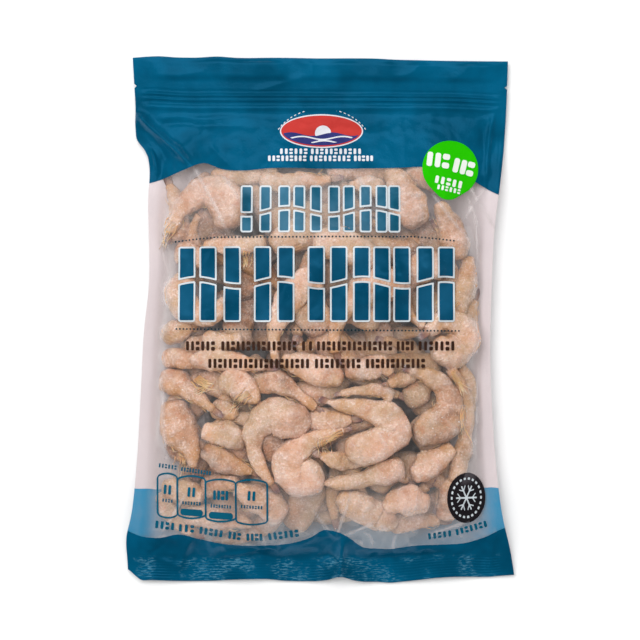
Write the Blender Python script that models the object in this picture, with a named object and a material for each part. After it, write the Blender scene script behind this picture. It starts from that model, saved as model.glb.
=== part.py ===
"""A resealable film pouch of frozen raw prawns, lying on its back with the printed side up.

The pouch is one closed body: two films that meet in flat seals on all four sides, lie flat on the
floor below, and are stretched over the prawns above. A count sticker lies on the front film.
Sizes are in millimetres and become metres where the meshes are made.
X runs across the pouch, Y from the bottom seal to the top edge, Z up from the floor.
"""

import math
import random
from collections import namedtuple

import bmesh
import bpy
import numpy as np
from mathutils import Vector
from mathutils.bvhtree import BVHTree

METRE = 0.001

# The flat pouch
POUCH_WIDTH = 248.0
POUCH_LENGTH = 335.0
TWO_FILMS = 0.8
SIDE_SEAL = 8.0
BOTTOM_SEAL = 14.0

# The press-to-close strip under the header, seen as two ridges in the film, and the tear notches over it
ZIP_RIDGE_Y = (139.7, 142.9)
ZIP_RIDGE_WIDTH = 1.6
ZIP_RIDGE_HEIGHT = 1.5
ZIP_RIDGE_SHOULDER = 1.5
ZIP_LOWER_EDGE_Y = 131.0
NOTCH_Y = 149.2
NOTCH_DEPTH = 1.6
NOTCH_HALF_WIDTH = 1.4

# How far each side edge lies from the middle line, at heights along the pouch
LEFT_EDGE = (
    (-168, 123.4), (-142, 123.8), (-126, 120.6), (-94, 117.2), (-50, 114.6), (-8, 112.4), (20, 109.4),
    (75, 109.8), (98, 109.4), (104, 110.6), (108, 112.6), (114, 117.2), (122, 118.4), (136, 118.4),
    (150, 119.2), (168, 120.2),
)
RIGHT_EDGE = (
    (-168, 125.0), (-152, 122.4), (-126, 116.6), (-100, 113.2), (-60, 110.2), (-30, 109.0), (20, 109.8),
    (58, 111.8), (90, 115.8), (108, 118.0), (122, 119.0), (168, 120.8),
)

# Where the top and bottom edges lie, as (x, y) from left to right
TOP_EDGE = (
    (-126, 166.6), (-120, 167.1), (-111, 167.8), (-105, 168.1), (-92, 167.4), (-79, 167.3), (-66, 168.0),
    (-54, 167.2), (-28, 167.2), (-15, 167.0), (-2, 166.7), (23, 166.7), (36, 166.5), (49, 165.8), (62, 165.5),
    (75, 165.2), (100, 164.9), (126, 164.8),
)
BOTTOM_EDGE = (
    (-126, -160.5), (-123, -161.6), (-119, -165.0), (-115, -168.0), (-109, -168.2), (-90, -169.0),
    (-77, -169.1), (-67, -168.8), (-57, -168.1), (-45, -167.7), (-33, -167.8), (-23, -168.9), (-9, -169.2),
    (-1, -169.0), (5, -168.1), (9, -166.8), (13, -166.0), (17, -166.8), (21, -168.2), (27, -169.3),
    (37, -169.6), (45, -170.2), (52, -169.6), (61, -168.6), (71, -167.3), (80, -166.5), (96, -166.3),
    (109, -166.4), (116, -165.7), (126, -164.9),
)
EDGE_BEND_Y = -120.0

# How high the seals lie over the floor
SIDE_LIFT = 13.0
BOTTOM_LIFT = 3.4
TOP_LIFT = 5.0
UNDERSIDE_CURVE = 30.0
LIFT_LENGTHS = (45.0, 40.0)
LIFT_TOP_Y = 118.0
BOTTOM_CURVE = 22.0
TOP_LIFT_START_Y = 78.0
HEADER_WAVE = 0.9
HEADER_WAVE_LENGTH = 207.0
HEADER_WAVE_START_Y = 145.0

# The folds pressed into the films: two ends, height and half width, the pinch in the bottom seal last
Fold = namedtuple("Fold", "start end height half_width")
FOLDS = (
    Fold((-118, 118), (-78, 86), 3.6, 5.0),
    Fold((-117, 104), (-100, 84), -3.0, 5.0),
    Fold((-104, 127), (-42, 120), 1.6, 3.0),
    Fold((106, 128), (112, 84), 2.4, 4.0),
    Fold((94, 84), (110, 60), 2.0, 5.0),
    Fold((-92, -160), (-80, -140), 2.6, 5.0),
    Fold((-118, -162), (-96, -150), -1.8, 5.0),
    Fold((12, -168), (16, -138), 5.5, 6.5),
)
SEAL_WAVE = 1.6
SEAL_WAVE_LENGTH = 62.0

# The heap of prawns under the front film
FILL_FLOOR = 9.0
FILL_HEIGHT = 46.0
FILL_HALF_WIDTH = 106.5
FILL_HALF_LENGTH = 124.0
FILL_MIDDLE_Y = -22.5
GRADIENT_STEP = 2.0
STEEPEST_LIE = 0.55

# How thick a prawn lies for its half width, and how far along it the heap's top is probed
LEAST_DEPTH = 2.2
DEPTH_SHARE = 0.44
SPINE_STEP = 2.5
OVER_HEAP = 1.0

# A random prawn's length, greatest half width and the share of that left at its tail
BODY_LENGTH = 64.0
HALF_BREADTH = 11.5
TAIL_SHARE = 0.26
FULL_AT = 0.85
HEAD_LOSS = 0.1

# The prawns that show through the window, each as (x, y, half width) places from tail to head. sunk is
# how far one lies below the top of the heap. The first ones lie on top of the later ones
Prawn = namedtuple("Prawn", "sunk spine")
SHOWN_PRAWNS = (
    Prawn(0, (
        (14.8, -70.9, 2.2), (2.8, -74.1, 4.4), (-9.1, -80.4, 7.6), (-18.6, -87.9, 10.7),
        (-19.2, -95.5, 11.3), (-12.9, -101.1, 12.0), (-4.7, -98.6, 12.0),
    )),
    Prawn(0, (
        (69, -7.9, 3.2), (75.9, -2.9, 5.7), (84.7, -2.9, 8.2), (91, -9.2, 10.1),
        (88.5, -17.3, 11.3), (81.6, -20.5, 10.7), (75.9, -19.2, 8.2),
    )),
    Prawn(0, (
        (-94.8, 55.1, 3.2), (-90.4, 65.8, 5.7), (-82.2, 75.3, 7.9), (-72.2, 80.3, 10.1),
        (-62.1, 76.5, 12.3), (-58.3, 68.3, 12.6), (-57.7, 62.7, 10.1),
    )),
    Prawn(0.3, (
        (5.4, -52.6, 2.5), (16.1, -55.2, 4.7), (28.7, -57.7, 6.9), (40.6, -62.1, 9.8),
        (46.9, -70.3, 11.3), (38.7, -77.8, 11.3), (28.7, -81.6, 11.3), (21.1, -82.2, 9.5),
    )),
    Prawn(0.5, (
        (-30.6, -104.3, 2.8), (-37.5, -94.2, 4.7), (-41.9, -82.9, 5.7), (-40.6, -70.9, 7.9),
        (-31.8, -62.7, 11), (-19.9, -64.6, 12.6), (-12.9, -69, 9.5),
    )),
    Prawn(0.5, ((41.9, -120.1, 4.4), (48.8, -116.3, 8.2), (57, -115.6, 10.1), (65.8, -116.9, 7.2))),
    Prawn(1, (
        (12.9, -113.8, 5), (21.1, -118.2, 8.8), (31.2, -123.2, 9.8),
        (40, -127.6, 8.8), (45.7, -131.4, 5.7),
    )),
    Prawn(1, (
        (57.6, -33.1, 2.5), (67.7, -36.9, 5), (77.2, -43.8, 7.2), (81.6, -54.5, 9.5),
        (77.2, -65.9, 12), (68.4, -70.3, 10.7), (64, -71.5, 8.2),
    )),
    Prawn(1, (
        (-80.3, -94.2, 3.2), (-81.6, -86, 5.7), (-86, -77.2, 10.1),
        (-91.1, -67.8, 12.6), (-92.9, -57.7, 9.5),
    )),
    Prawn(1, (
        (-39.4, -52.6, 2.5), (-43.2, -48.8, 5.7), (-48.8, -43.8, 9.5),
        (-54.5, -41.3, 10.1), (-59.5, -41.3, 7.6),
    )),
    Prawn(1, (
        (-60.2, 11.6, 3.8), (-65.9, 4.1, 5.7), (-74.7, 2.2, 8.2),
        (-84.8, 7.9, 10.1), (-88.5, 16.7, 9.5), (-84.8, 24.2, 7.6),
    )),
    Prawn(1, (
        (-23, -26.8, 3.8), (-14.2, -29.3, 6.9), (-3.5, -32.5, 9.5),
        (6.6, -36.2, 9.5), (11, -37.5, 6.9),
    )),
    Prawn(1, (
        (45.7, 94.8, 5.7), (49.5, 87.3, 8.8), (53.2, 77.8, 11.3),
        (58.3, 69, 12.6), (61.4, 63.9, 9.5),
    )),
    Prawn(1.5, ((13.5, -47.6, 1.9), (24.9, -45.7, 3.2), (36.2, -45.7, 4.4), (44.4, -48.2, 3.8))),
    Prawn(1.5, ((1.6, -86.7, 3.2), (9.1, -89.2, 5), (18.6, -89.8, 5.7), (28, -88.5, 5.7))),
    Prawn(2, (
        (-67.7, -57.7, 3.2), (-75.9, -52, 4.4), (-84.8, -45.7, 6.3),
        (-92.9, -40.7, 8.8), (-98, -40, 6.9),
    )),
    Prawn(2, ((-72.2, -70.9, 5), (-65.9, -72.2, 7.2), (-57, -74.7, 8.5), (-50.7, -77.8, 7.6))),
    Prawn(2, (
        (82.9, -82.2, 3.8), (77.8, -86.7, 6.9), (70.9, -91.7, 9.5),
        (64.6, -96.1, 8.2), (60.8, -98, 5.7),
    )),
    Prawn(2, (
        (2.8, -104.3, 2.2), (15.4, -103.7, 3.8), (28.7, -101.1, 5.4),
        (41.3, -96.1, 8.2), (48.8, -94.2, 7.9),
    )),
    Prawn(2, (
        (82.9, -33.1, 2.5), (89.8, -43.8, 3.2), (93.6, -55.2, 3.5), (92.9, -70.3, 4.4),
        (91, -82.9, 5.4), (88.5, -94.2, 6), (86.6, -101.8, 5),
    )),
    Prawn(2, (
        (43.8, -35, 3.2), (40, -30.6, 5.7), (32.4, -31.2, 8.2),
        (23.6, -32.5, 7.6), (18.6, -33.1, 5.7),
    )),
    Prawn(2, ((-52, -108.7, 5), (-43.2, -112.5, 8.2), (-33.7, -118.2, 10.1), (-26.8, -124.5, 8.2))),
    Prawn(2, (
        (-35, -30.6, 3.2), (-47.6, -28.7, 5.7), (-62.1, -26.8, 6.9),
        (-72.8, -26.2, 6.9), (-79.1, -26.8, 5),
    )),
    Prawn(2, (
        (75.3, 72.1, 3.8), (79.7, 63.3, 6.9), (83.5, 54.5, 9.1),
        (85.4, 45.7, 9.1), (86, 40.6, 6.9),
    )),
    Prawn(2, ((-72.2, 45.7, 3.8), (-60.2, 45.7, 6.3), (-47.6, 46.3, 6.9), (-36.9, 47.6, 5.7))),
    Prawn(3, (
        (-2.8, -55.8, 2.5), (-11, -50.1, 4.1), (-20.5, -43.8, 6.3),
        (-29.9, -40, 7.6), (-38.8, -41.3, 6.6),
    )),
    Prawn(3, ((19.2, -64, 3.2), (12.3, -64.6, 6.3), (0.9, -64, 8.2), (-7.3, -62.7, 6.9))),
    Prawn(3, ((-75.9, -114.4, 5), (-83.5, -111.2, 8.2), (-93.6, -109.3, 8.8), (-97.4, -109.3, 6.3))),
    Prawn(3, ((-52.6, -103, 3.8), (-62.1, -105.6, 6.3), (-70.9, -108.1, 6.9))),
    Prawn(3, ((-74.7, -27.4, 3.2), (-83.5, -26.8, 5.7), (-91.1, -25.5, 7.2), (-96.1, -25.5, 6.3))),
    Prawn(3, ((-78.5, -3.5, 3.8), (-86, -6.6, 6.3), (-93.6, -10.4, 7.9), (-96.1, -12.3, 6.3))),
    Prawn(3, (
        (94.2, 38.1, 3.8), (94.2, 30.5, 6), (92.3, 21.1, 7.6),
        (89.2, 11.6, 7.6), (87.9, 5.3, 5.7),
    )),
    Prawn(3, ((6, 88.5, 3.2), (-6.6, 87.3, 5.7), (-22.4, 86.6, 6.9), (-35, 87.3, 6.3))),
    Prawn(3, ((19.8, 84.7, 3.8), (28, 84.1, 6.3), (37.5, 82.8, 6.3))),
    Prawn(3, ((-67.1, 35.6, 3.8), (-75.9, 38.1, 6.3), (-84.1, 40.6, 7.6), (-88.5, 41.9, 6.3))),
    Prawn(3, ((-28, 93, 3.8), (-42, 91.5, 6.3), (-56, 90, 7.6), (-66, 89, 6.3))),
    Prawn(3, ((44, 92, 4.4), (32, 93.5, 6.9), (20, 94, 7.6), (8, 95, 6.3))),
    Prawn(4, ((84, 84, 3.8), (76, 87, 6.3), (66, 90, 8.2), (58, 92, 6.9))),
    Prawn(4, ((-96, 84, 3.2), (-92, 74, 5.7), (-90, 62, 6.9), (-90, 52, 5.7))),
    Prawn(4, ((-53.2, -60.8, 3.8), (-59.5, -58.9, 6), (-65.9, -58.3, 6.3))),
    Prawn(4, ((-43.2, -97.4, 2.8), (-51.4, -94.2, 5.7), (-62.1, -89.8, 8.2), (-70.9, -84.1, 6))),
    Prawn(4, ((-44.4, -131.4, 3.8), (-57, -128.9, 6.3), (-72.8, -127.6, 7.6), (-83.5, -127, 6.3))),
    Prawn(4, ((86.6, -103, 3.8), (82.9, -110.6, 6.3), (81.6, -119.4, 7.6), (81, -125.7, 6.3))),
    Prawn(4, ((-50.1, -13.6, 3.8), (-60.2, -14.8, 5.7), (-70.9, -14.2, 6.3))),
    Prawn(4, ((43.8, -41.9, 3.2), (51.3, -38.8, 4.4), (60.2, -35, 3.8))),
    Prawn(5, ((98, 10.4, 3.2), (95.5, 4.1, 5), (94.2, -3.5, 5.7), (92.9, -9.8, 4.4))),
    Prawn(5, ((-84.8, -90.4, 3.2), (-89.8, -86, 5), (-93.6, -81, 5.7))),
    Prawn(6, ((89.2, -31.2, 3.2), (94.2, -38.8, 5), (96.1, -48.2, 5), (95.5, -57.7, 3.8))),
    Prawn(7, ((75.3, -129.5, 3.2), (65.8, -128.9, 5.7), (55.1, -129.5, 6.9), (47.6, -130.8, 6.3))),
    Prawn(9, ((69, -38.8, 4.4), (65.2, -43.8, 7.6), (60.8, -47.6, 8.8), (56.4, -49.5, 6.9))),
)

# The rest of the top layer, laid by a seeded rule where the print hides most of it
RANDOM_SEED = 7
FILLER_TRIES = 700
FILLER_SPACING = 27.0
FILLER_BOX = ((-88, 88), (-25, 86))
FILLER_TURN = (30.0, 90.0)
FILLER_SIZE = (0.85, 1.1)
FILLER_SUNK = (1.0, 4.0)

# The mesh
BODY_COLUMNS = 48
BODY_ROWS = 62
RELAX_STEPS = 2500
SAG_PER_STEP = 0.5
RIM_SHARE = 8.0

# The sticker, a drop shape laid on the film
STICKER_CENTRE = (82.1, 95.6)
STICKER_RADIUS = 18.0
STICKER_TIP_RADIUS = 7.5
STICKER_TIP_DISTANCE = 12.5
STICKER_TIP_HEADING = 263.0
STICKER_THICKNESS = 0.5
STICKER_GAP = 0.4
STICKER_SIDES = 36
STICKER_RINGS = 5
PROBES = 8
PROBE_REACH = 2.2

# The printed bands
TOP_BAND_Y = 86.0
BOTTOM_BAND_Y = -139.0

FILM_ROUGHNESS = 0.32
SHARP_EDGE = 50.0
BLUE_INK = (0.0, 0.085, 0.16, 1.0)
WINDOW_COLOUR = (0.56, 0.42, 0.33, 1.0)
STICKER_GREEN = (0.03, 0.72, 0.0, 1.0)


def smooth(t):
    """A soft step from 0 to 1."""
    t = np.clip(t, 0.0, 1.0)
    return t * t * (3 - 2 * t)


def through(knots, y):
    """A smooth curve through (y, value) knots."""
    heights, values = np.array(knots, float).T
    slopes = np.gradient(values, heights)
    index = np.clip(np.searchsorted(heights, y, side="right") - 1, 0, len(knots) - 2)
    gap = heights[index + 1] - heights[index]
    t = (y - heights[index]) / gap
    rise = smooth(t)
    leave = t * (1 - t) ** 2 * gap * slopes[index]
    arrive = t**2 * (1 - t) * gap * slopes[index + 1]
    return values[index] * (1 - rise) + values[index + 1] * rise + leave - arrive


def notch(y):
    """Depth of the tear notches, one V in each side edge above the press-to-close strip."""
    away = np.abs(y - NOTCH_Y) / NOTCH_HALF_WIDTH
    return NOTCH_DEPTH * np.clip(1 - away, 0, 1)


def plan(u, y):
    """The place in plan of the film point at share u across (-1 to 1) and height y."""
    left = through(LEFT_EDGE, y) - notch(y)
    right = through(RIGHT_EDGE, y) - notch(y)
    x = (right - left) / 2 + u * (right + left) / 2
    half = POUCH_LENGTH / 2
    near_top = smooth((y - ZIP_LOWER_EDGE_Y) / (half - ZIP_LOWER_EDGE_Y))
    near_bottom = smooth((EDGE_BEND_Y - y) / (half + EDGE_BEND_Y))
    low = (through(BOTTOM_EDGE, x) + half) * near_bottom
    high = (through(TOP_EDGE, x) - half) * near_top
    return x, y + low + high


def fold_height(x, y):
    """The sum of the folds at a place, each a ridge that fades towards its ends."""
    total = np.zeros_like(x)
    for fold in FOLDS:
        (x0, y0), (x1, y1) = fold.start, fold.end
        length = math.hypot(x1 - x0, y1 - y0)
        along = ((x - x0) * (x1 - x0) + (y - y0) * (y1 - y0)) / length
        aside = ((x - x0) * (y1 - y0) - (y - y0) * (x1 - x0)) / length
        fade = smooth((along + 4) / 8) * smooth((length + 4 - along) / (0.6 * length))
        total = total + fold.height * fade * np.exp(-((aside / fold.half_width) ** 2))
    return total


def underside(u, x, y):
    """Height of the back film: flat on the floor, lifted towards the seals."""
    from_bottom = y + POUCH_LENGTH / 2
    from_side = (1 - np.abs(u)) * POUCH_WIDTH / 2
    in_body = smooth(from_bottom / LIFT_LENGTHS[0]) * smooth((LIFT_TOP_Y - y) / LIFT_LENGTHS[1])
    side_lift = BOTTOM_LIFT + (SIDE_LIFT - BOTTOM_LIFT) * in_body
    side = side_lift * (1 - smooth((from_side - SIDE_SEAL / 2) / UNDERSIDE_CURVE))
    bottom = BOTTOM_LIFT * (1 - smooth((from_bottom - BOTTOM_SEAL) / BOTTOM_CURVE))
    top = TOP_LIFT * smooth((y - TOP_LIFT_START_Y) / (ZIP_LOWER_EDGE_Y - TOP_LIFT_START_Y))
    in_seal = 1 - smooth((from_bottom - BOTTOM_SEAL) / SIDE_SEAL)
    wave = SEAL_WAVE * np.sin(x / SEAL_WAVE_LENGTH * 2 * math.pi) * in_seal
    in_header = smooth((y - HEADER_WAVE_START_Y) / (POUCH_LENGTH / 2 - HEADER_WAVE_START_Y))
    header = HEADER_WAVE * np.sin(x / HEADER_WAVE_LENGTH * 2 * math.pi) * in_header
    return np.maximum(np.maximum(side, bottom), top) + wave + header


def zip_ridges(y):
    """The two ridges of the press-to-close strip."""
    ridges = np.zeros_like(y)
    for ridge_y in ZIP_RIDGE_Y:
        ridges = ridges + np.exp(-(((y - ridge_y) / (ZIP_RIDGE_WIDTH / 2)) ** 4))
    return ZIP_RIDGE_HEIGHT * ridges


def fill_height(x, y):
    """Height of the heap of prawns, a broad pillow that falls away to the seals."""
    across = np.clip(1 - np.abs(x / FILL_HALF_WIDTH) ** 2.8, 0, 1)
    along = np.clip(1 - np.abs((y - FILL_MIDDLE_Y) / FILL_HALF_LENGTH) ** 3.2, 0, 1)
    return FILL_FLOOR + (FILL_HEIGHT - FILL_FLOOR) * (across * along) ** 0.6


def curled(x, y, heading, turn, size, steps=8):
    """The spine of a prawn whose two halves each turn by so many degrees."""
    half = BODY_LENGTH * size / 2
    points = []
    for way in (-1, 1):
        at_x, at_y, at_heading = x, y, math.radians(heading)
        bend = math.radians(turn) / steps * way
        arm = [(at_x, at_y)]
        for _ in range(steps):
            at_x += way * math.cos(at_heading + bend / 2) * half / steps
            at_y += way * math.sin(at_heading + bend / 2) * half / steps
            at_heading += bend
            arm.append((at_x, at_y))
        points = arm[:0:-1] if way < 0 else points + arm
    t = np.linspace(0, 1, len(points))
    share = TAIL_SHARE + (1 - TAIL_SHARE) * smooth(t / FULL_AT)
    share = share * (1 - HEAD_LOSS * smooth((t - FULL_AT) / (1 - FULL_AT)))
    return np.column_stack([points, HALF_BREADTH * size * share])


def fillers():
    """Prawns dropped at random, each where it is clear of the ones already there."""
    draw = random.Random(RANDOM_SEED)
    placed = [place[:2] for prawn in SHOWN_PRAWNS for place in prawn.spine[1::2]]
    found = []
    for _ in range(FILLER_TRIES):
        x, y = (draw.uniform(*side) for side in FILLER_BOX)
        heading, turn = draw.uniform(0, 360), draw.choice((-1, 1)) * draw.uniform(*FILLER_TURN)
        size, sunk = draw.uniform(*FILLER_SIZE), draw.uniform(*FILLER_SUNK)
        if all(math.hypot(x - px, y - py) > FILLER_SPACING for px, py in placed):
            placed.append((x, y))
            found.append(Prawn(sunk, curled(x, y, heading, turn, size)))
    return found


def splined(spine):
    """Places and half widths at even steps along a spine."""
    spine = np.array(spine, float)
    run = np.concatenate([[0], np.cumsum(np.hypot(*np.diff(spine[:, :2], axis=0).T))])
    at = np.linspace(0, run[-1], int(run[-1] / SPINE_STEP) + 2)
    return [through(np.column_stack([run, column]), at) for column in spine.T]


def heap_top(x, y):
    """Height of the highest prawn over each place, or the floor where there is none."""
    top = np.zeros_like(x)
    for prawn in SHOWN_PRAWNS + tuple(fillers()):
        spine_x, spine_y, breadth = splined(prawn.spine)
        depth = LEAST_DEPTH + DEPTH_SHARE * breadth
        middle_x, middle_y = spine_x[len(spine_x) // 2], spine_y[len(spine_y) // 2]
        middle = fill_height(middle_x, middle_y)
        slope_x = (fill_height(middle_x + GRADIENT_STEP, middle_y) - middle) / GRADIENT_STEP
        slope_y = (fill_height(middle_x, middle_y + GRADIENT_STEP) - middle) / GRADIENT_STEP
        slope_x, slope_y = np.clip((slope_x, slope_y), -STEEPEST_LIE, STEEPEST_LIE)
        centre = middle + slope_x * (spine_x - middle_x) + slope_y * (spine_y - middle_y)
        highest = fill_height(spine_x, spine_y) - depth + OVER_HEAP
        centre = np.minimum(centre - depth.max(), highest) - prawn.sunk
        for px, py, half, thick, z in zip(spine_x, spine_y, breadth, depth, centre):
            inside = 1 - ((x - px) ** 2 + (y - py) ** 2) / half**2
            top = np.maximum(top, (z + thick * np.sqrt(np.maximum(inside, 0))) * (inside > 0))
    return top


def stretched(lowest, held, sag):
    """The film pulled tight over what lies under it: held points stay, and the rest sink until they touch."""
    film = np.where(held, lowest, np.maximum(lowest, FILL_HEIGHT))
    for _ in range(RELAX_STEPS):
        middle = (film[:-2, 1:-1] + film[2:, 1:-1] + film[1:-1, :-2] + film[1:-1, 2:]) / 4
        inner = np.maximum(middle - sag[1:-1, 1:-1], lowest[1:-1, 1:-1])
        film[1:-1, 1:-1] = np.where(held[1:-1, 1:-1], film[1:-1, 1:-1], inner)
    return film


def grid_lines():
    """The shares across and the heights along where both films have points. Both counts of gaps are even."""
    seal_share = 2 * SIDE_SEAL / POUCH_WIDTH
    inner = np.linspace(-1 + seal_share, 1 - seal_share, BODY_COLUMNS + 1)
    across = np.concatenate([[-1, -1 + seal_share / 2], inner, [1 - seal_share / 2, 1]])
    bottom, top = -POUCH_LENGTH / 2, POUCH_LENGTH / 2
    seal = np.linspace(bottom, bottom + BOTTOM_SEAL, 5)
    body = np.linspace(bottom + BOTTOM_SEAL, ZIP_LOWER_EDGE_Y, BODY_ROWS + 1)
    half = ZIP_RIDGE_WIDTH / 2
    shoulder = ZIP_RIDGE_SHOULDER * half
    ridges = [y + offset for y in ZIP_RIDGE_Y for offset in (-shoulder, -half, half, shoulder)]
    tear = [NOTCH_Y - NOTCH_HALF_WIDTH, NOTCH_Y, NOTCH_Y + NOTCH_HALF_WIDTH]
    header = np.linspace(tear[-1], top, 4)
    along = np.concatenate([seal, body[1:], ridges, tear, header[1:]])
    return across, along


def film_surfaces():
    """Grids of x, y, front height and back height of the two films."""
    across, along = grid_lines()
    u, y_flat = np.meshgrid(across, along)
    x, y = plan(u, y_flat)
    back = underside(u, x, y_flat)
    sealed = (np.abs(u) >= 1 - 2 * SIDE_SEAL / POUCH_WIDTH - 1e-9) | (y_flat >= ZIP_LOWER_EDGE_Y)
    sealed |= y_flat <= -POUCH_LENGTH / 2 + BOTTOM_SEAL + 1e-9
    lowest = np.where(sealed, back, np.maximum(back, heap_top(x, y))) + TWO_FILMS
    over_fill = smooth((fill_height(x, y) - FILL_FLOOR) / (FILL_HEIGHT - FILL_FLOOR))
    front = stretched(lowest, sealed, SAG_PER_STEP * over_fill)
    edge = np.minimum(1, (1 - np.abs(u)) * RIM_SHARE)
    front = front + fold_height(x, y) * edge + zip_ridges(y_flat) * edge
    back = back + np.where(sealed, fold_height(x, y) * edge, 0)
    back = np.maximum(back, 0)
    return x, y, np.maximum(front, back + TWO_FILMS), back


def material(name, colour, roughness):
    made = bpy.data.materials.new(name)
    made.use_nodes = True
    shader = made.node_tree.nodes["Principled BSDF"]
    shader.inputs["Base Color"].default_value = colour
    shader.inputs["Roughness"].default_value = roughness
    return made


def object_from(name, mesh_maker, materials):
    """A new object in the scene whose mesh is what mesh_maker leaves, with its faces pointing out."""
    mesh = bpy.data.meshes.new(name)
    mesh_maker.normal_update()
    mesh_maker.to_mesh(mesh)
    mesh_maker.free()
    for slot in materials:
        mesh.materials.append(slot)
    mesh.shade_smooth()
    mesh.set_sharp_from_angle(angle=math.radians(SHARP_EDGE))
    made = bpy.data.objects.new(name, mesh)
    bpy.context.scene.collection.objects.link(made)
    return made


def pouch():
    """The closed body of the pouch, and the height of its highest point under any place."""
    x, y, front, back = film_surfaces()
    low_x, low_y, high_x, high_y = x.min(), y.min(), x.max(), y.max()
    x, y = x - (low_x + high_x) / 2, y - (low_y + high_y) / 2
    rows, columns = x.shape
    made = bmesh.new()

    def points(z):
        stack = np.stack([x, y, z], axis=-1) * METRE
        return [[made.verts.new(stack[row, column]) for column in range(columns)] for row in range(rows)]

    above, below = points(front), points(back)
    for row in range(rows - 1):
        for column in range(columns - 1):
            near, far = above[row], above[row + 1]
            face = made.faces.new((near[column], near[column + 1], far[column + 1], far[column]))
            face.material_index = int(BOTTOM_BAND_Y < y[row, column] < TOP_BAND_Y)
    add_back(made, below, rows, columns)
    add_rim(made, above, below, rows, columns)
    blue = material("film_blue", BLUE_INK, FILM_ROUGHNESS)
    window = material("film_window", WINDOW_COLOUR, FILM_ROUGHNESS)
    return object_from("pouch", made, [blue, window])


def add_back(made, below, rows, columns):
    """The back film, one face for each two by two of the front's, with the outline's own points kept."""
    for row in range(0, rows - 1, 2):
        for column in range(0, columns - 1, 2):
            ring = [below[row][column]]
            if column == 0:
                ring.append(below[row + 1][column])
            ring.append(below[row + 2][column])
            if row + 2 == rows - 1:
                ring.append(below[row + 2][column + 1])
            ring.append(below[row + 2][column + 2])
            if column + 2 == columns - 1:
                ring.append(below[row + 1][column + 2])
            ring.append(below[row][column + 2])
            if row == 0:
                ring.append(below[row][column + 1])
            made.faces.new(ring)
    unused = [point for line in below for point in line if not point.link_faces]
    bmesh.ops.delete(made, geom=unused, context="VERTS")


def add_rim(made, above, below, rows, columns):
    """The narrow edge that joins the two films all round."""
    ring = [(0, column) for column in range(columns - 1)]
    ring += [(row, columns - 1) for row in range(rows - 1)]
    ring += [(rows - 1, column) for column in range(columns - 1, 0, -1)]
    ring += [(row, 0) for row in range(rows - 1, 0, -1)]
    for (r0, c0), (r1, c1) in zip(ring, ring[1:] + ring[:1]):
        made.faces.new((below[r0][c0], below[r1][c1], above[r1][c1], above[r0][c0]))


def drop_outline():
    """The sticker's outline round its centre: two circles with a shared hull."""
    heading = math.radians(STICKER_TIP_HEADING)
    lean = math.acos((STICKER_RADIUS - STICKER_TIP_RADIUS) / STICKER_TIP_DISTANCE)
    outline = []
    for index in range(STICKER_SIDES):
        angle = heading + math.pi + 2 * math.pi * index / STICKER_SIDES
        from_tip = math.remainder(angle - heading, 2 * math.pi)
        if abs(from_tip) > lean:
            reach = STICKER_RADIUS
            outline.append((reach * math.cos(angle), reach * math.sin(angle)))
        else:
            turned = heading + from_tip
            tip_x = STICKER_TIP_DISTANCE * math.cos(heading) + STICKER_TIP_RADIUS * math.cos(turned)
            tip_y = STICKER_TIP_DISTANCE * math.sin(heading) + STICKER_TIP_RADIUS * math.sin(turned)
            outline.append((tip_x, tip_y))
    return outline


def count_sticker(carrier):
    """The drop-shaped sticker, a thin plate that follows the film under it."""
    graph = bpy.context.evaluated_depsgraph_get()
    film = BVHTree.FromObject(carrier, graph)
    made = bmesh.new()

    def film_height(x, y):
        return film.ray_cast(Vector((x * METRE, y * METRE, 1.0)), Vector((0, 0, -1)))[0].z

    def pair(x, y):
        turns = [2 * math.pi * index / PROBES for index in range(PROBES)]
        probes = [(x + PROBE_REACH * math.cos(turn), y + PROBE_REACH * math.sin(turn)) for turn in turns]
        around = [film_height(*probe) for probe in probes]
        lower = max(around + [film_height(x, y)]) + STICKER_GAP * METRE
        upper = lower + STICKER_THICKNESS * METRE
        return made.verts.new((x * METRE, y * METRE, lower)), made.verts.new((x * METRE, y * METRE, upper))

    outline = drop_outline()
    centre = pair(*STICKER_CENTRE)
    rings = []
    for ring in range(1, STICKER_RINGS + 1):
        share = ring / STICKER_RINGS
        places = [(STICKER_CENTRE[0] + dx * share, STICKER_CENTRE[1] + dy * share) for dx, dy in outline]
        rings.append([pair(*place) for place in places])
    for index in range(STICKER_SIDES):
        after = (index + 1) % STICKER_SIDES
        first, second = rings[0][index], rings[0][after]
        made.faces.new((centre[1], first[1], second[1]))
        made.faces.new((centre[0], second[0], first[0]))
        for inner, outer in zip(rings, rings[1:]):
            made.faces.new((inner[index][1], outer[index][1], outer[after][1], inner[after][1]))
            made.faces.new((inner[after][0], outer[after][0], outer[index][0], inner[index][0]))
        first, second = rings[-1][index], rings[-1][after]
        made.faces.new((first[0], second[0], second[1], first[1]))
    bmesh.ops.triangulate(made, faces=made.faces[:], quad_method="FIXED")
    return object_from("count_sticker", made, [material("sticker_green", STICKER_GREEN, FILM_ROUGHNESS)])


def main():
    for old in list(bpy.data.objects):
        bpy.data.objects.remove(old)
    carrier = pouch()
    bpy.context.view_layer.update()
    count_sticker(carrier)


main()
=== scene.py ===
import math
import random
from collections import namedtuple

import bpy
import numpy as np
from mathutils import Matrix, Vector, noise
from mathutils.bvhtree import BVHTree


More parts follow.
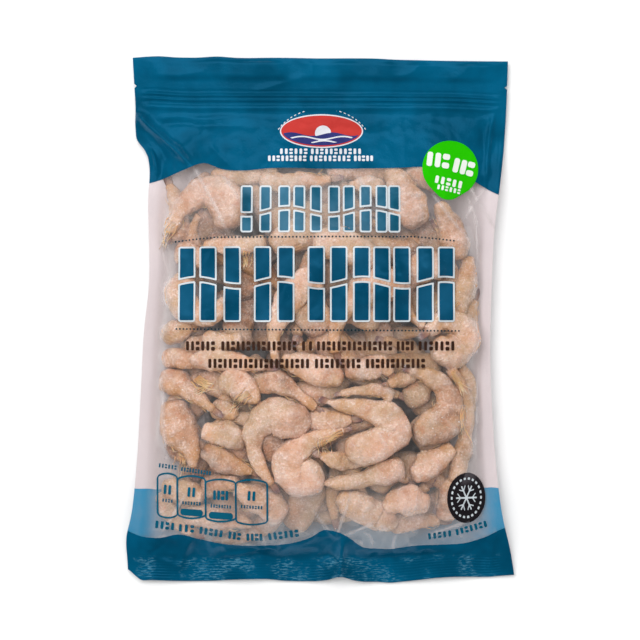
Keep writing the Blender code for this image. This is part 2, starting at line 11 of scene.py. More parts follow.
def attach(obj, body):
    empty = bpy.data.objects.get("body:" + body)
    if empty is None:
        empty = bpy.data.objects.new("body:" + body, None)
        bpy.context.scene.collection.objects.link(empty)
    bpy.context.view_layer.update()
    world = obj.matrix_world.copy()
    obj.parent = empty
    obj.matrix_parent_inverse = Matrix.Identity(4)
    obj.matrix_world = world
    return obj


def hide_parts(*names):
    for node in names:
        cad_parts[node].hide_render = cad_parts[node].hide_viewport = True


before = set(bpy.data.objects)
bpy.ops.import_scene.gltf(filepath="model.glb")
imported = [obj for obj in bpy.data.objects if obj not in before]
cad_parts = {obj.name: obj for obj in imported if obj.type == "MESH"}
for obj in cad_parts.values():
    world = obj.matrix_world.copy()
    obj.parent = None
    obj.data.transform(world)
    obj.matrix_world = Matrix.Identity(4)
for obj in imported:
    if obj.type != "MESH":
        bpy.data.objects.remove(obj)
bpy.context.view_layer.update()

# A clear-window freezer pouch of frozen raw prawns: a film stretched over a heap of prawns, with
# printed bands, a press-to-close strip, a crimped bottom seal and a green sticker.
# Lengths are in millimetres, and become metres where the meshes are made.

MM = 0.001

# The pouch's plan
POUCH_WIDTH = 248.0
POUCH_LENGTH = 335.0
SIDE_SEAL = 8.0
BOTTOM_SEAL = 14.0
ZIP_LOW_Y = 131.0
ZIP_HIGH_Y = 151.0
NOTCH_Y = 149.2
NOTCH_DEPTH = 1.6
NOTCH_HALF_WIDTH = 1.4
LEFT_EDGE = (
    (-168, 123.4), (-142, 123.8), (-126, 120.6), (-94, 117.2), (-50, 114.6), (-8, 112.4), (20, 109.4),
    (75, 109.8), (98, 109.4), (104, 110.6), (108, 112.6), (114, 117.2), (122, 118.4), (136, 118.4),
    (150, 119.2), (168, 120.2),
)
RIGHT_EDGE = (
    (-168, 125.0), (-152, 122.4), (-126, 116.6), (-100, 113.2), (-60, 110.2), (-30, 109.0), (20, 109.8),
    (58, 111.8), (90, 115.8), (108, 118.0), (122, 119.0), (168, 120.8),
)
TOP_EDGE = (
    (-126, 166.6), (-120, 167.1), (-111, 167.8), (-105, 168.1), (-92, 167.4), (-79, 167.3), (-66, 168.0),
    (-54, 167.2), (-28, 167.2), (-15, 167.0), (-2, 166.7), (23, 166.7), (36, 166.5), (49, 165.8), (62, 165.5),
    (75, 165.2), (100, 164.9), (126, 164.8),
)
BOTTOM_EDGE = (
    (-126, -160.5), (-123, -161.6), (-119, -165.0), (-115, -168.0), (-109, -168.2), (-90, -169.0),
    (-77, -169.1), (-67, -168.8), (-57, -168.1), (-45, -167.7), (-33, -167.8), (-23, -168.9), (-9, -169.2),
    (-1, -169.0), (5, -168.1), (9, -166.8), (13, -166.0), (17, -166.8), (21, -168.2), (27, -169.3),
    (37, -169.6), (45, -170.2), (52, -169.6), (61, -168.6), (71, -167.3), (80, -166.5), (96, -166.3),
    (109, -166.4), (116, -165.7), (126, -164.9),
)

# Where the printed bands end, as (x, y) along each edge
TOP_BAND = (
    (-125, 84), (-108.7, 89.0), (-93.3, 95.0), (-80.5, 98.6), (-69.5, 94.8), (-54.2, 93.8), (-38.8, 95.2),
    (0, 95.0), (50, 95.6), (63.8, 96.2), (86, 92.8), (100.3, 87.2), (113.8, 80.4), (126, 76),
)
BOTTOM_BAND = (
    (-127, -136.2), (-111, -139.4), (-98.4, -140.4), (-85.6, -137.8), (-72.8, -140.6), (-51.6, -144.9),
    (-25, -144.6), (-4, -139.4), (5, -134.6), (11, -135.8), (20.8, -140.6), (26.6, -144.8), (36, -146.2),
    (58, -145.2), (96, -143.6), (104, -140.8), (117, -135), (128, -132),
)

# The press-to-close strip's ridges and grooves: height up the pouch, half width and rise
ZIP_PROFILE = (
    (142.9, 1.0, 1.4), (139.9, 0.8, 1.0), (134.8, 1.6, 1.0), (137.7, 0.8, -0.8), (145.6, 0.8, -0.6),
)

# The films, and the grid of heights in plan that they are worked out on
FILM_GAP = 0.35
RIM_GAP = 0.1
FILM_CLEARANCE = 0.35
LEAST_CLEARANCE = 0.15
SAG_PER_STEP = 0.012
RELAX_STEPS = 1500
FIELD_STEP = 1.0
FIELD_LOW = (-128.0, -172.0)
FIELD_COUNT = (257, 345)
SEALED_THICKNESS = 1.5
HELD_PAST = (121, 166)
CONTENTS_Y = (-150, 105)
SEAL_LINES = (2.2, 4.6, 7.4)
RIB_PITCH = 1.75
BACK_GRID_STRIDE = 3

# The heap of prawns
FILL_FLOOR = 9.0
FILL_HEIGHT = 46.0
FILL_HALF_WIDTH = 106.5
FILL_HALF_LENGTH = 124.0
FILL_MIDDLE_Y = -22.5
GRADIENT_STEP = 2.0
STEEPEST_LIE = 0.55

# One headless prawn of size 1
BODY_LENGTH = 64.0
HALF_BREADTH = 11.5
TAIL_SHARE = 0.26
RINGS = 41
PLATES = 6.2
THICKEST_TAIL = 3.3
CLOSENESS = 0.74
INSIDE_GAP = 0.4
STEEPEST_BEND = 0.5
CURL_STEPS = 8
CAP_SHARES = (0.35, 0.62, 0.83, 0.95)
TOP_SIDES, LOWER_SIDES = 30, 16
SQUARENESS = 0.78
BODY_LUMPS = ((13.0, 2.0), (5.5, 0.95), (2.6, 0.35), (1.4, 0.15))
LOWER_LUMPS = BODY_LUMPS[:2]
LEG_RADIUS, TUFT_RADIUS = 0.22, 0.45
LEG_SIDES, BLADE_SIDES = 5, 8
LEG_RINGS, TUFT_RINGS, BLADE_RINGS = 8, 14, 9

# The tail fan's blades: angle aside, tilt, length and half width on a prawn whose tail is 3 mm wide
BLADES = (
    (0, 0.06, 8.0, 1.4), (0.08, 0.12, 10.0, 1.8), (-0.08, 0.12, 10.5, 1.8), (0.17, -0.04, 9.0, 1.6),
    (-0.17, -0.04, 9.5, 1.6),
)

# The prawns that show through the window, each as (x, y, half width) places from tail to head. sunk is how
# far one lies below the heap's top, and tone runs from frosty pale at 0 to brown at 1. The first ones lie
# on top of the later ones
Prawn = namedtuple("Prawn", "sunk tone spine")
SHOWN_PRAWNS = (
    Prawn(0, 0.02, (
        (14.8, -70.9, 2.2), (2.8, -74.1, 4.4), (-9.1, -80.4, 7.6), (-18.6, -87.9, 10.7),
        (-19.2, -95.5, 11.3), (-12.9, -101.1, 12.0), (-4.7, -98.6, 12.0),
    )),
    Prawn(0, 0.1, (
        (69, -7.9, 3.2), (75.9, -2.9, 5.7), (84.7, -2.9, 8.2), (91, -9.2, 10.1),
        (88.5, -17.3, 11.3), (81.6, -20.5, 10.7), (75.9, -19.2, 8.2),
    )),
    Prawn(0, 0.22, (
        (-94.8, 55.1, 3.2), (-90.4, 65.8, 5.7), (-82.2, 75.3, 7.9), (-72.2, 80.3, 10.1),
        (-62.1, 76.5, 12.3), (-58.3, 68.3, 12.6), (-57.7, 62.7, 10.1),
    )),
    Prawn(0.3, 0.1, (
        (5.4, -52.6, 2.5), (16.1, -55.2, 4.7), (28.7, -57.7, 6.9), (40.6, -62.1, 9.8),
        (46.9, -70.3, 11.3), (38.7, -77.8, 11.3), (28.7, -81.6, 11.3), (21.1, -82.2, 9.5),
    )),
    Prawn(0.5, 0.28, (
        (-30.6, -104.3, 2.8), (-37.5, -94.2, 4.7), (-41.9, -82.9, 5.7), (-40.6, -70.9, 7.9),
        (-31.8, -62.7, 11), (-19.9, -64.6, 12.6), (-12.9, -69, 9.5),
    )),
    Prawn(0.5, 0.08, ((41.9, -120.1, 4.4), (48.8, -116.3, 8.2), (57, -115.6, 10.1), (65.8, -116.9, 7.2))),
    Prawn(1, 0.05, (
        (12.9, -113.8, 5), (21.1, -118.2, 8.8), (31.2, -123.2, 9.8),
        (40, -127.6, 8.8), (45.7, -131.4, 5.7),
    )),
    Prawn(1, 0.5, (
        (57.6, -33.1, 2.5), (67.7, -36.9, 5), (77.2, -43.8, 7.2), (81.6, -54.5, 9.5),
        (77.2, -65.9, 12), (68.4, -70.3, 10.7), (64, -71.5, 8.2),
    )),
    Prawn(1, 0.3, (
        (-80.3, -94.2, 3.2), (-81.6, -86, 5.7), (-86, -77.2, 10.1),
        (-91.1, -67.8, 12.6), (-92.9, -57.7, 9.5),
    )),
    Prawn(1, 0.1, (
        (-39.4, -52.6, 2.5), (-43.2, -48.8, 5.7), (-48.8, -43.8, 9.5),
        (-54.5, -41.3, 10.1), (-59.5, -41.3, 7.6),
    )),
    Prawn(1, 0.15, (
        (-60.2, 11.6, 3.8), (-65.9, 4.1, 5.7), (-74.7, 2.2, 8.2),
        (-84.8, 7.9, 10.1), (-88.5, 16.7, 9.5), (-84.8, 24.2, 7.6),
    )),
    Prawn(1, 0.15, (
        (-23, -26.8, 3.8), (-14.2, -29.3, 6.9), (-3.5, -32.5, 9.5),
        (6.6, -36.2, 9.5), (11, -37.5, 6.9),
    )),
    Prawn(1, 0.3, (
        (45.7, 94.8, 5.7), (49.5, 87.3, 8.8), (53.2, 77.8, 11.3),
        (58.3, 69, 12.6), (61.4, 63.9, 9.5),
    )),
    Prawn(1.5, 0.5, ((13.5, -47.6, 1.9), (24.9, -45.7, 3.2), (36.2, -45.7, 4.4), (44.4, -48.2, 3.8))),
    Prawn(1.5, 0.2, ((1.6, -86.7, 3.2), (9.1, -89.2, 5), (18.6, -89.8, 5.7), (28, -88.5, 5.7))),
    Prawn(2, 0.4, (
        (-67.7, -57.7, 3.2), (-75.9, -52, 4.4), (-84.8, -45.7, 6.3),
        (-92.9, -40.7, 8.8), (-98, -40, 6.9),
    )),
    Prawn(2, 0.08, ((-72.2, -70.9, 5), (-65.9, -72.2, 7.2), (-57, -74.7, 8.5), (-50.7, -77.8, 7.6))),
    Prawn(2, 0.25, (
        (82.9, -82.2, 3.8), (77.8, -86.7, 6.9), (70.9, -91.7, 9.5),
        (64.6, -96.1, 8.2), (60.8, -98, 5.7),
    )),
    Prawn(2, 0.35, (
        (2.8, -104.3, 2.2), (15.4, -103.7, 3.8), (28.7, -101.1, 5.4),
        (41.3, -96.1, 8.2), (48.8, -94.2, 7.9),
    )),
    Prawn(2, 0.45, (
        (82.9, -33.1, 2.5), (89.8, -43.8, 3.2), (93.6, -55.2, 3.5), (92.9, -70.3, 4.4),
        (91, -82.9, 5.4), (88.5, -94.2, 6), (86.6, -101.8, 5),
    )),
    Prawn(2, 0.3, (
        (43.8, -35, 3.2), (40, -30.6, 5.7), (32.4, -31.2, 8.2),
        (23.6, -32.5, 7.6), (18.6, -33.1, 5.7),
    )),
    Prawn(2, 0.3, ((-52, -108.7, 5), (-43.2, -112.5, 8.2), (-33.7, -118.2, 10.1), (-26.8, -124.5, 8.2))),
    Prawn(2, 0, (
        (-35, -30.6, 3.2), (-47.6, -28.7, 5.7), (-62.1, -26.8, 6.9),
        (-72.8, -26.2, 6.9), (-79.1, -26.8, 5),
    )),
    Prawn(2, 0.4, (
        (75.3, 72.1, 3.8), (79.7, 63.3, 6.9), (83.5, 54.5, 9.1),
        (85.4, 45.7, 9.1), (86, 40.6, 6.9),
    )),
    Prawn(2, 0.2, ((-72.2, 45.7, 3.8), (-60.2, 45.7, 6.3), (-47.6, 46.3, 6.9), (-36.9, 47.6, 5.7))),
    Prawn(3, 0.55, (
        (-2.8, -55.8, 2.5), (-11, -50.1, 4.1), (-20.5, -43.8, 6.3),
        (-29.9, -40, 7.6), (-38.8, -41.3, 6.6),
    )),
    Prawn(3, 0.2, ((19.2, -64, 3.2), (12.3, -64.6, 6.3), (0.9, -64, 8.2), (-7.3, -62.7, 6.9))),
    Prawn(3, 0.45, ((-75.9, -114.4, 5), (-83.5, -111.2, 8.2), (-93.6, -109.3, 8.8), (-97.4, -109.3, 6.3))),
    Prawn(3, 0.2, ((-52.6, -103, 3.8), (-62.1, -105.6, 6.3), (-70.9, -108.1, 6.9))),
    Prawn(3, 0.3, ((-74.7, -27.4, 3.2), (-83.5, -26.8, 5.7), (-91.1, -25.5, 7.2), (-96.1, -25.5, 6.3))),
    Prawn(3, 0.25, ((-78.5, -3.5, 3.8), (-86, -6.6, 6.3), (-93.6, -10.4, 7.9), (-96.1, -12.3, 6.3))),
    Prawn(3, 0.5, (
        (94.2, 38.1, 3.8), (94.2, 30.5, 6), (92.3, 21.1, 7.6),
        (89.2, 11.6, 7.6), (87.9, 5.3, 5.7),
    )),
    Prawn(3, 0.3, ((6, 88.5, 3.2), (-6.6, 87.3, 5.7), (-22.4, 86.6, 6.9), (-35, 87.3, 6.3))),
    Prawn(3, 0.25, ((19.8, 84.7, 3.8), (28, 84.1, 6.3), (37.5, 82.8, 6.3))),
    Prawn(3, 0.35, ((-67.1, 35.6, 3.8), (-75.9, 38.1, 6.3), (-84.1, 40.6, 7.6), (-88.5, 41.9, 6.3))),
    Prawn(3, 0.3, ((-28, 93, 3.8), (-42, 91.5, 6.3), (-56, 90, 7.6), (-66, 89, 6.3))),
    Prawn(3, 0.45, ((44, 92, 4.4), (32, 93.5, 6.9), (20, 94, 7.6), (8, 95, 6.3))),
    Prawn(4, 0.5, ((84, 84, 3.8), (76, 87, 6.3), (66, 90, 8.2), (58, 92, 6.9))),
    Prawn(4, 0.4, ((-96, 84, 3.2), (-92, 74, 5.7), (-90, 62, 6.9), (-90, 52, 5.7))),
    Prawn(4, 0.5, ((-53.2, -60.8, 3.8), (-59.5, -58.9, 6), (-65.9, -58.3, 6.3))),
    Prawn(4, 0.6, ((-43.2, -97.4, 2.8), (-51.4, -94.2, 5.7), (-62.1, -89.8, 8.2), (-70.9, -84.1, 6))),
    Prawn(4, 0.35, ((-44.4, -131.4, 3.8), (-57, -128.9, 6.3), (-72.8, -127.6, 7.6), (-83.5, -127, 6.3))),
    Prawn(4, 0.5, ((86.6, -103, 3.8), (82.9, -110.6, 6.3), (81.6, -119.4, 7.6), (81, -125.7, 6.3))),
    Prawn(4, 0.3, ((-50.1, -13.6, 3.8), (-60.2, -14.8, 5.7), (-70.9, -14.2, 6.3))),
    Prawn(4, 0.6, ((43.8, -41.9, 3.2), (51.3, -38.8, 4.4), (60.2, -35, 3.8))),
    Prawn(5, 0.8, ((98, 10.4, 3.2), (95.5, 4.1, 5), (94.2, -3.5, 5.7), (92.9, -9.8, 4.4))),
    Prawn(5, 0.9, ((-84.8, -90.4, 3.2), (-89.8, -86, 5), (-93.6, -81, 5.7))),
    Prawn(6, 0.7, ((89.2, -31.2, 3.2), (94.2, -38.8, 5), (96.1, -48.2, 5), (95.5, -57.7, 3.8))),
    Prawn(7, 0.35, ((75.3, -129.5, 3.2), (65.8, -128.9, 5.7), (55.1, -129.5, 6.9), (47.6, -130.8, 6.3))),
    Prawn(9, 0.95, ((69, -38.8, 4.4), (65.2, -43.8, 7.6), (60.8, -47.6, 8.8), (56.4, -49.5, 6.9))),
    Prawn(3, 0.55, (
        (-96.1, 49.4, 3.8), (-89.8, 60.8, 6.3), (-82.2, 72.8, 8.2),
        (-75.9, 82.8, 7.6), (-71.5, 88.5, 5.7),
    )),
    Prawn(5, 0.3, (
        (-81, -135.8, 3.2), (-88.5, -130.8, 5.7),
        (-96.1, -123.2, 6.9), (-99.2, -114.4, 5.7),
    )),
)

# Prawns placed by chance: beside the shown ones, and in layers below as (tries, most, sunk, deepest)
RANDOM_SEED = 7
FILLER_TRIES = 700
FILLER_SPACING = 27.0
FILLER_BOX = ((-88, 88), (-25, 86))
LOWER_LAYERS = ((900, 70, 9, 17), (700, 60, 20, 30))
LOWER_BOX = ((-100, 100), (-138, 104))
HEAP_LIMITS = (103, -147, 112)

# Grains of ice
ICE_GRAINS = 1100
ICE_BOX = ((-103, 103), (-143, 98))
ICE_SIZES = (0.16, 0.34)
ICE_SHAPE = (
    (1, 0, 0), (0.3, 0.95, 0), (-0.8, 0.6, 0), (-0.8, -0.6, 0), (0.3, -0.95, 0), (0, 0, 0.9), (0, 0, -0.9),
)


def smooth(t):
    """A soft step from 0 to 1."""
    t = np.clip(t, 0.0, 1.0)
    return t * t * (3 - 2 * t)


def through(knots, y):
    """A smooth curve through (place, value) knots."""
    places, values = np.array(knots, float).T
    slopes = np.gradient(values, places)
    index = np.clip(np.searchsorted(places, y, side="right") - 1, 0, len(knots) - 2)
    gap = places[index + 1] - places[index]
    t = (y - places[index]) / gap
    rise = smooth(t)
    leave = t * (1 - t) ** 2 * gap * slopes[index]
    arrive = t**2 * (1 - t) * gap * slopes[index + 1]
    return values[index] * (1 - rise) + values[index + 1] * rise + leave - arrive


def sampled(values, column, row, wrap=False):
    """A grid's values read between its points with smooth splines."""
    rows, columns = values.shape
    column0, row0 = np.floor(column).astype(int), np.floor(row).astype(int)

    def weights(t):
        return (
            (-t + 2 * t**2 - t**3) / 2, (2 - 5 * t**2 + 3 * t**3) / 2,
            (t + 4 * t**2 - 3 * t**3) / 2, (t**3 - t**2) / 2,
        )

    total = 0
    for i, across in enumerate(weights(column - column0), -1):
        for j, along in enumerate(weights(row - row0), -1):
            at_row, at_column = row0 + j, column0 + i
            if wrap:
                at_row, at_column = at_row % rows, at_column % columns
            else:
                at_row, at_column = np.clip(at_row, 0, rows - 1), np.clip(at_column, 0, columns - 1)
            total = total + across * along * values[at_row, at_column]
    return total


def on_field(field, x, y):
    """A field's value at places in plan."""
    return sampled(field, (x - FIELD_LOW[0]) / FIELD_STEP, (y - FIELD_LOW[1]) / FIELD_STEP)


LATTICE = np.random.default_rng(RANDOM_SEED).uniform(-1, 1, (8, 61, 67))


def ripple(x, y, size, layer):
    """Smooth random waves about one size long, between -1 and 1."""
    return sampled(LATTICE[layer], x / size + 17.3 * layer, y / size + 9.1 * layer, wrap=True)


def blurred(values, times):
    """A grid smoothed with its neighbours, several times over."""
    for _ in range(times):
        padded = np.pad(values, 1, mode="edge")
        values = (padded[:-2, 1:-1] + 2 * padded[1:-1, 1:-1] + padded[2:, 1:-1]) / 4
        padded = np.pad(values, 1, mode="edge")
        values = (padded[1:-1, :-2] + 2 * padded[1:-1, 1:-1] + padded[1:-1, 2:]) / 4
    return values


def spread(values, known):
    """The unknown values filled from their neighbours outward."""
    values, known = np.where(known, values, 0.0), known.copy()
    while not known.all():
        padded, counted = np.pad(values * known, 1), np.pad(known.astype(float), 1)
        shifts = [(0, 1), (2, 1), (1, 0), (1, 2)]
        rows, columns = values.shape
        total = sum(padded[r:r + rows, c:c + columns] for r, c in shifts)
        count = sum(counted[r:r + rows, c:c + columns] for r, c in shifts)
        fresh = ~known & (count > 0)
        values = np.where(fresh, total / np.maximum(count, 1), values)
        known |= fresh
    return values


def plan(u, y):
    """The place in plan of the film point at share u across (-1 to 1) and height y."""
    away = np.abs(y - NOTCH_Y) / NOTCH_HALF_WIDTH
    notch = NOTCH_DEPTH * np.clip(1 - away, 0, 1)
    left = through(LEFT_EDGE, y) - notch
    right = through(RIGHT_EDGE, y) - notch
    x = (right - left) / 2 + u * (right + left) / 2
    near_top = smooth((y - ZIP_LOW_Y) / (POUCH_LENGTH / 2 - ZIP_LOW_Y))
    near_bottom = smooth((-120 - y) / (POUCH_LENGTH / 2 - 120))
    low = (through(BOTTOM_EDGE, x) + POUCH_LENGTH / 2) * near_bottom
    high = (through(TOP_EDGE, x) - POUCH_LENGTH / 2) * near_top
    return x, y + low + high


def film_grid():
    """Shares across, flat heights and places in plan of the film's points, and the first row of each part."""
    share = 2 * SIDE_SEAL / POUCH_WIDTH
    seal = np.linspace(-1, -1 + share, 12)
    u = np.concatenate([seal[:-1], np.linspace(-1 + share, 1 - share, 212), -seal[-2::-1]])
    x_flat = u * 118
    bottom, top = -POUCH_LENGTH / 2, POUCH_LENGTH / 2
    edges = (
        (np.full_like(u, bottom), 1), (np.full_like(u, bottom + BOTTOM_SEAL), 34),
        (through(BOTTOM_BAND, x_flat), 20), (through(TOP_BAND, x_flat), 214),
        (np.full_like(u, ZIP_LOW_Y), 34), (np.full_like(u, ZIP_HIGH_Y), 54), (np.full_like(u, top), 18),
    )
    rows, starts = [edges[0][0]], [0]
    for (low, _), (high, count) in zip(edges, edges[1:]):
        rows += [low + (high - low) * k / count for k in range(1, count + 1)]
        starts.append(len(rows) - 1)
    y_flat = np.array(rows)
    u = np.broadcast_to(u, y_flat.shape)
    x, y = plan(u, y_flat)
    centre = (x.min() + x.max()) / 2, (y.min() + y.max()) / 2
    return u, y_flat, x - centre[0], y - centre[1], starts, centre


U, Y_FLAT, FILM_X, FILM_Y, ROWS, CENTRE = film_grid()
GRID_X, GRID_Y = np.meshgrid(*(low + np.arange(n) * FIELD_STEP for low, n in zip(FIELD_LOW, FIELD_COUNT)))


def height_at(tree, x, y, otherwise, way=-1):
    """Height of the first surface met from above, or from below where way is 1."""
    hit = tree.ray_cast(Vector((x * MM, y * MM, -way)), Vector((0, 0, way)))[0]
    return otherwise if hit is None else hit.z / MM


def cad_heights():
    """Grids of the solid's upper and lower heights in plan, filled past its outline."""
    tree = BVHTree.FromObject(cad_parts["pouch"], bpy.context.evaluated_depsgraph_get())
    upper, lower = (
        np.vectorize(lambda x, y: height_at(tree, x, y, np.nan, way))(GRID_X, GRID_Y) for way in (-1, 1)
    )
    known = ~np.isnan(upper)
    return spread(upper, known), spread(lower, known)


CAD_TOP, CAD_BACK = cad_heights()
BACK_FILM = blurred(CAD_BACK, 12)


def fill_height(x, y):
    """Height of the heap of prawns, a broad pillow that falls away to the seals."""
    across = np.clip(1 - np.abs(x / FILL_HALF_WIDTH) ** 2.8, 0, 1)
    along = np.clip(1 - np.abs((y - FILL_MIDDLE_Y) / FILL_HALF_LENGTH) ** 3.2, 0, 1)
    return FILL_FLOOR + (FILL_HEIGHT - FILL_FLOOR) * (across * along) ** 0.6


def curled(x, y, heading, front, rear, size):
    """The spine of a prawn whose two halves turn by front and rear degrees."""
    half = BODY_LENGTH * size / 2
    points = []
    for turn, way in ((rear, -1), (front, 1)):
        at_x, at_y, at_heading = x, y, math.radians(heading)
        bend = math.radians(turn) / CURL_STEPS * way
        arm = [(at_x, at_y)]
        for _ in range(CURL_STEPS):
            at_x += way * math.cos(at_heading + bend / 2) * half / CURL_STEPS
            at_y += way * math.sin(at_heading + bend / 2) * half / CURL_STEPS
            at_heading += bend
            arm.append((at_x, at_y))
        points = arm[:0:-1] if way < 0 else points + arm
    t = np.linspace(0, 1, len(points))
    width = TAIL_SHARE + (1 - TAIL_SHARE) * smooth(t / 0.85)
    return np.column_stack([points, HALF_BREADTH * size * width * (1 - 0.1 * smooth((t - 0.85) / 0.15))])


def fillers():
    """Prawns dropped at random where the print hides most of the heap, each clear of those already there."""
    draw = random.Random(RANDOM_SEED)
    placed = [place[:2] for prawn in SHOWN_PRAWNS for place in prawn.spine[1::2]]
    found = []
    for _ in range(FILLER_TRIES):
        x, y = (draw.uniform(*side) for side in FILLER_BOX)
        heading, turn = draw.uniform(0, 360), draw.choice((-1, 1)) * draw.uniform(30, 90)
        size, sunk = draw.uniform(0.85, 1.1), draw.uniform(1, 4)
        if all(math.hypot(x - px, y - py) > FILLER_SPACING for px, py in placed):
            placed.append((x, y))
            found.append(Prawn(sunk, (len(found) * 0.37) % 0.7, curled(x, y, heading, turn, turn, size)))
    return found


Lying = namedtuple("Lying", "prawn path breadth depth layer")


def splined(spine):
    """Places and half widths at even steps along a spine."""
    spine = np.array(spine, float)
    run = np.concatenate([[0], np.cumsum(np.hypot(*np.diff(spine[:, :2], axis=0).T))])
    at = np.linspace(0, run[-1], RINGS)
    return np.column_stack([through(np.column_stack([run, column]), at) for column in spine.T])


def settled(prawn, lying, layer):
    """A prawn on the heap's slope, bent down under those that lie over it so that it stays clear of them."""
    x, y, breadth = splined(prawn.spine).T
    depth = 2.2 + 0.44 * breadth
    at_x, at_y = x[RINGS // 2], y[RINGS // 2]
    middle = fill_height(at_x, at_y)
    slope_x = (fill_height(at_x + GRADIENT_STEP, at_y) - middle) / GRADIENT_STEP
    slope_y = (fill_height(at_x, at_y + GRADIENT_STEP) - middle) / GRADIENT_STEP
    slope_x, slope_y = np.clip((slope_x, slope_y), -STEEPEST_LIE, STEEPEST_LIE)
    z = middle + slope_x * (x - at_x) + slope_y * (y - at_y) - depth.max() - prawn.sunk
    z = np.minimum(z, fill_height(x, y) - depth - prawn.sunk + 1)
    path = np.column_stack([x - CENTRE[0], y - CENTRE[1], z])
    if lying:
        other = np.concatenate([one.path[::3] for one in lying])
        wide = np.concatenate([one.breadth[::3] for one in lying])
        deep = np.concatenate([one.depth[::3] for one in lying])
        away = np.hypot(path[:, None, 0] - other[:, 0], path[:, None, 1] - other[:, 1])
        reach = (breadth[:, None] + wide) * CLOSENESS
        gap = (depth[:, None] + deep) * CLOSENESS * np.sqrt(np.maximum(1 - (away / reach) ** 2, 0))
        z = np.minimum(z, np.where(away < reach, other[:, 2] - gap, np.inf).min(axis=1))
    run = np.hypot(np.diff(x), np.diff(y)) * STEEPEST_BEND
    for _ in range(RINGS):
        z[1:] = np.minimum(z[1:], z[:-1] + run)
        z[:-1] = np.minimum(z[:-1], z[1:] + run)
    path[:, 2] = z
    return Lying(prawn, path, breadth, depth, layer)


def kept_inside(points):
    """Points brought up where they would lie below the back film."""
    lowest = on_field(BACK_FILM, points[:, 0], points[:, 1]) + INSIDE_GAP
    return np.column_stack([points[:, :2], np.maximum(points[:, 2], lowest)])


def heap():
    """Every prawn with its place: the shown ones, the fillers beside them, and the lower layers."""
    lying = []
    for prawn in SHOWN_PRAWNS + tuple(fillers()):
        lying.append(settled(prawn, lying, 0))
    draw = random.Random(RANDOM_SEED + 1)
    aside, lowest, highest = HEAP_LIMITS
    for layer, (tries, most, sunk, deepest) in enumerate(LOWER_LAYERS, 1):
        found = 0
        for _ in range(tries):
            x, y = (draw.uniform(*side) for side in LOWER_BOX)
            turn = draw.choice((-1, 1)) * draw.uniform(10, 80)
            heading, rear, size = draw.uniform(0, 360), turn * draw.uniform(0.5, 1), draw.uniform(0.75, 1.05)
            # Lower layers draw their random tones from the browner end: painted shade for lying deep in the
            # heap.
            prawn = Prawn(sunk, draw.uniform(0.45, 1.0), curled(x, y, heading, turn, rear, size))
            one = settled(prawn, lying, layer)
            x, y, z = one.path.T
            inside = (np.abs(x) < aside) & (y > lowest) & (y < highest)
            clear = z > on_field(CAD_BACK, x, y) + one.depth * 0.9
            drop = on_field(CAD_TOP, x, y) - z - one.depth
            if found < most and inside.all() and clear.all() and drop.mean() < deepest:
                lying.append(one)
                found += 1
    return lying


HEAP = heap()


class Pile:
    """Points, faces and named values gathered for one piece."""

    def __init__(self):
        self.points, self.faces, self.values, self.count = [], [], {}, 0

    def add(self, points, faces, **values):
        points = np.asarray(points, float).reshape(-1, 3)
        self.points.append(points)
        self.faces += [tuple(np.add(face, self.count).tolist()) for face in faces]
        for name, value in values.items():
            self.values.setdefault(name, []).append(np.broadcast_to(np.ravel(value), len(points)))
        self.count += len(points)

    def add_tube(self, points, share, sides, **values):
        """Adds a closed tube, brought up to the back film, with each ring's share of the length."""
        along = np.concatenate([np.repeat(share, sides), [0, 1]])
        self.add(kept_inside(points), tube_faces(len(share), sides), along=along, **values)

    def made(self, name, material, slot, node="pouch"):
        """The gathered faces as one piece in place of a node."""
        values = {key: np.concatenate(value) for key, value in self.values.items()}
        return piece(name, np.concatenate(self.points), self.faces, material, node, values)


def piece(name, points, faces, material, node="pouch", values={}):
    """A smooth-shaded mesh object from points in millimetres, riding on the pouch in place of a node."""
    mesh = bpy.data.meshes.new(name)
    mesh.from_pydata((np.asarray(points) * MM).tolist(), [], faces)
    for key, value in values.items():
        mesh.attributes.new(key, "FLOAT", "POINT").data.foreach_set("value", np.asarray(value, np.float32))
    mesh.materials.append(material)
    mesh.shade_smooth()
    made = bpy.data.objects.new(name, mesh)
    bpy.context.scene.collection.objects.link(made)
    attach(made, "root")
    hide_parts(node)
    return made


def grid_faces(rows, columns):
    """Faces of a sheet whose points run row by row."""
    index = np.arange(rows * columns).reshape(rows, columns)
    corners = (index[:-1, :-1], index[:-1, 1:], index[1:, 1:], index[1:, :-1])
    return np.stack([corner.ravel() for corner in corners], axis=1).tolist()


def tube_faces(rings, sides):
    """Faces of a closed tube: rings of points, then one point for each end."""
    ring = np.arange(rings * sides).reshape(rings, sides)
    after = np.roll(ring, -1, axis=1)
    walls = np.stack([ring[:-1], after[:-1], after[1:], ring[1:]], axis=-1).reshape(-1, 4).tolist()
    start, end = rings * sides, rings * sides + 1
    caps = [(start, after[0, k], ring[0, k]) for k in range(sides)]
    caps += [(end, ring[-1, k], after[-1, k]) for k in range(sides)]
    return walls + caps


def frames(path):
    """Unit vectors along a path, level across it to the left, and upward from it."""
    along = np.gradient(path, axis=0)
    along /= np.linalg.norm(along, axis=1, keepdims=True)
    side = np.cross((0.0, 0.0, 1.0), along)
    side /= np.linalg.norm(side, axis=1, keepdims=True)
    return along, side, np.cross(along, side)


def tube(path, breadth, depth, sides, relief=1.0, squareness=1.0):
    """Points of a tube along a path, of the given half breadths and half depths, with its two end points."""
    _, side, up = frames(path)
    turn = np.arange(sides) / sides * 2 * math.pi
    across = np.sign(np.cos(turn)) * np.abs(np.cos(turn)) ** squareness * breadth[:, None] * relief
    upward = np.sign(np.sin(turn)) * np.abs(np.sin(turn)) ** squareness * depth[:, None] * relief
    rings = path[:, None] + side[:, None] * across[..., None] + up[:, None] * upward[..., None]
    return np.concatenate([rings.reshape(-1, 3), path[:1], path[-1:]])


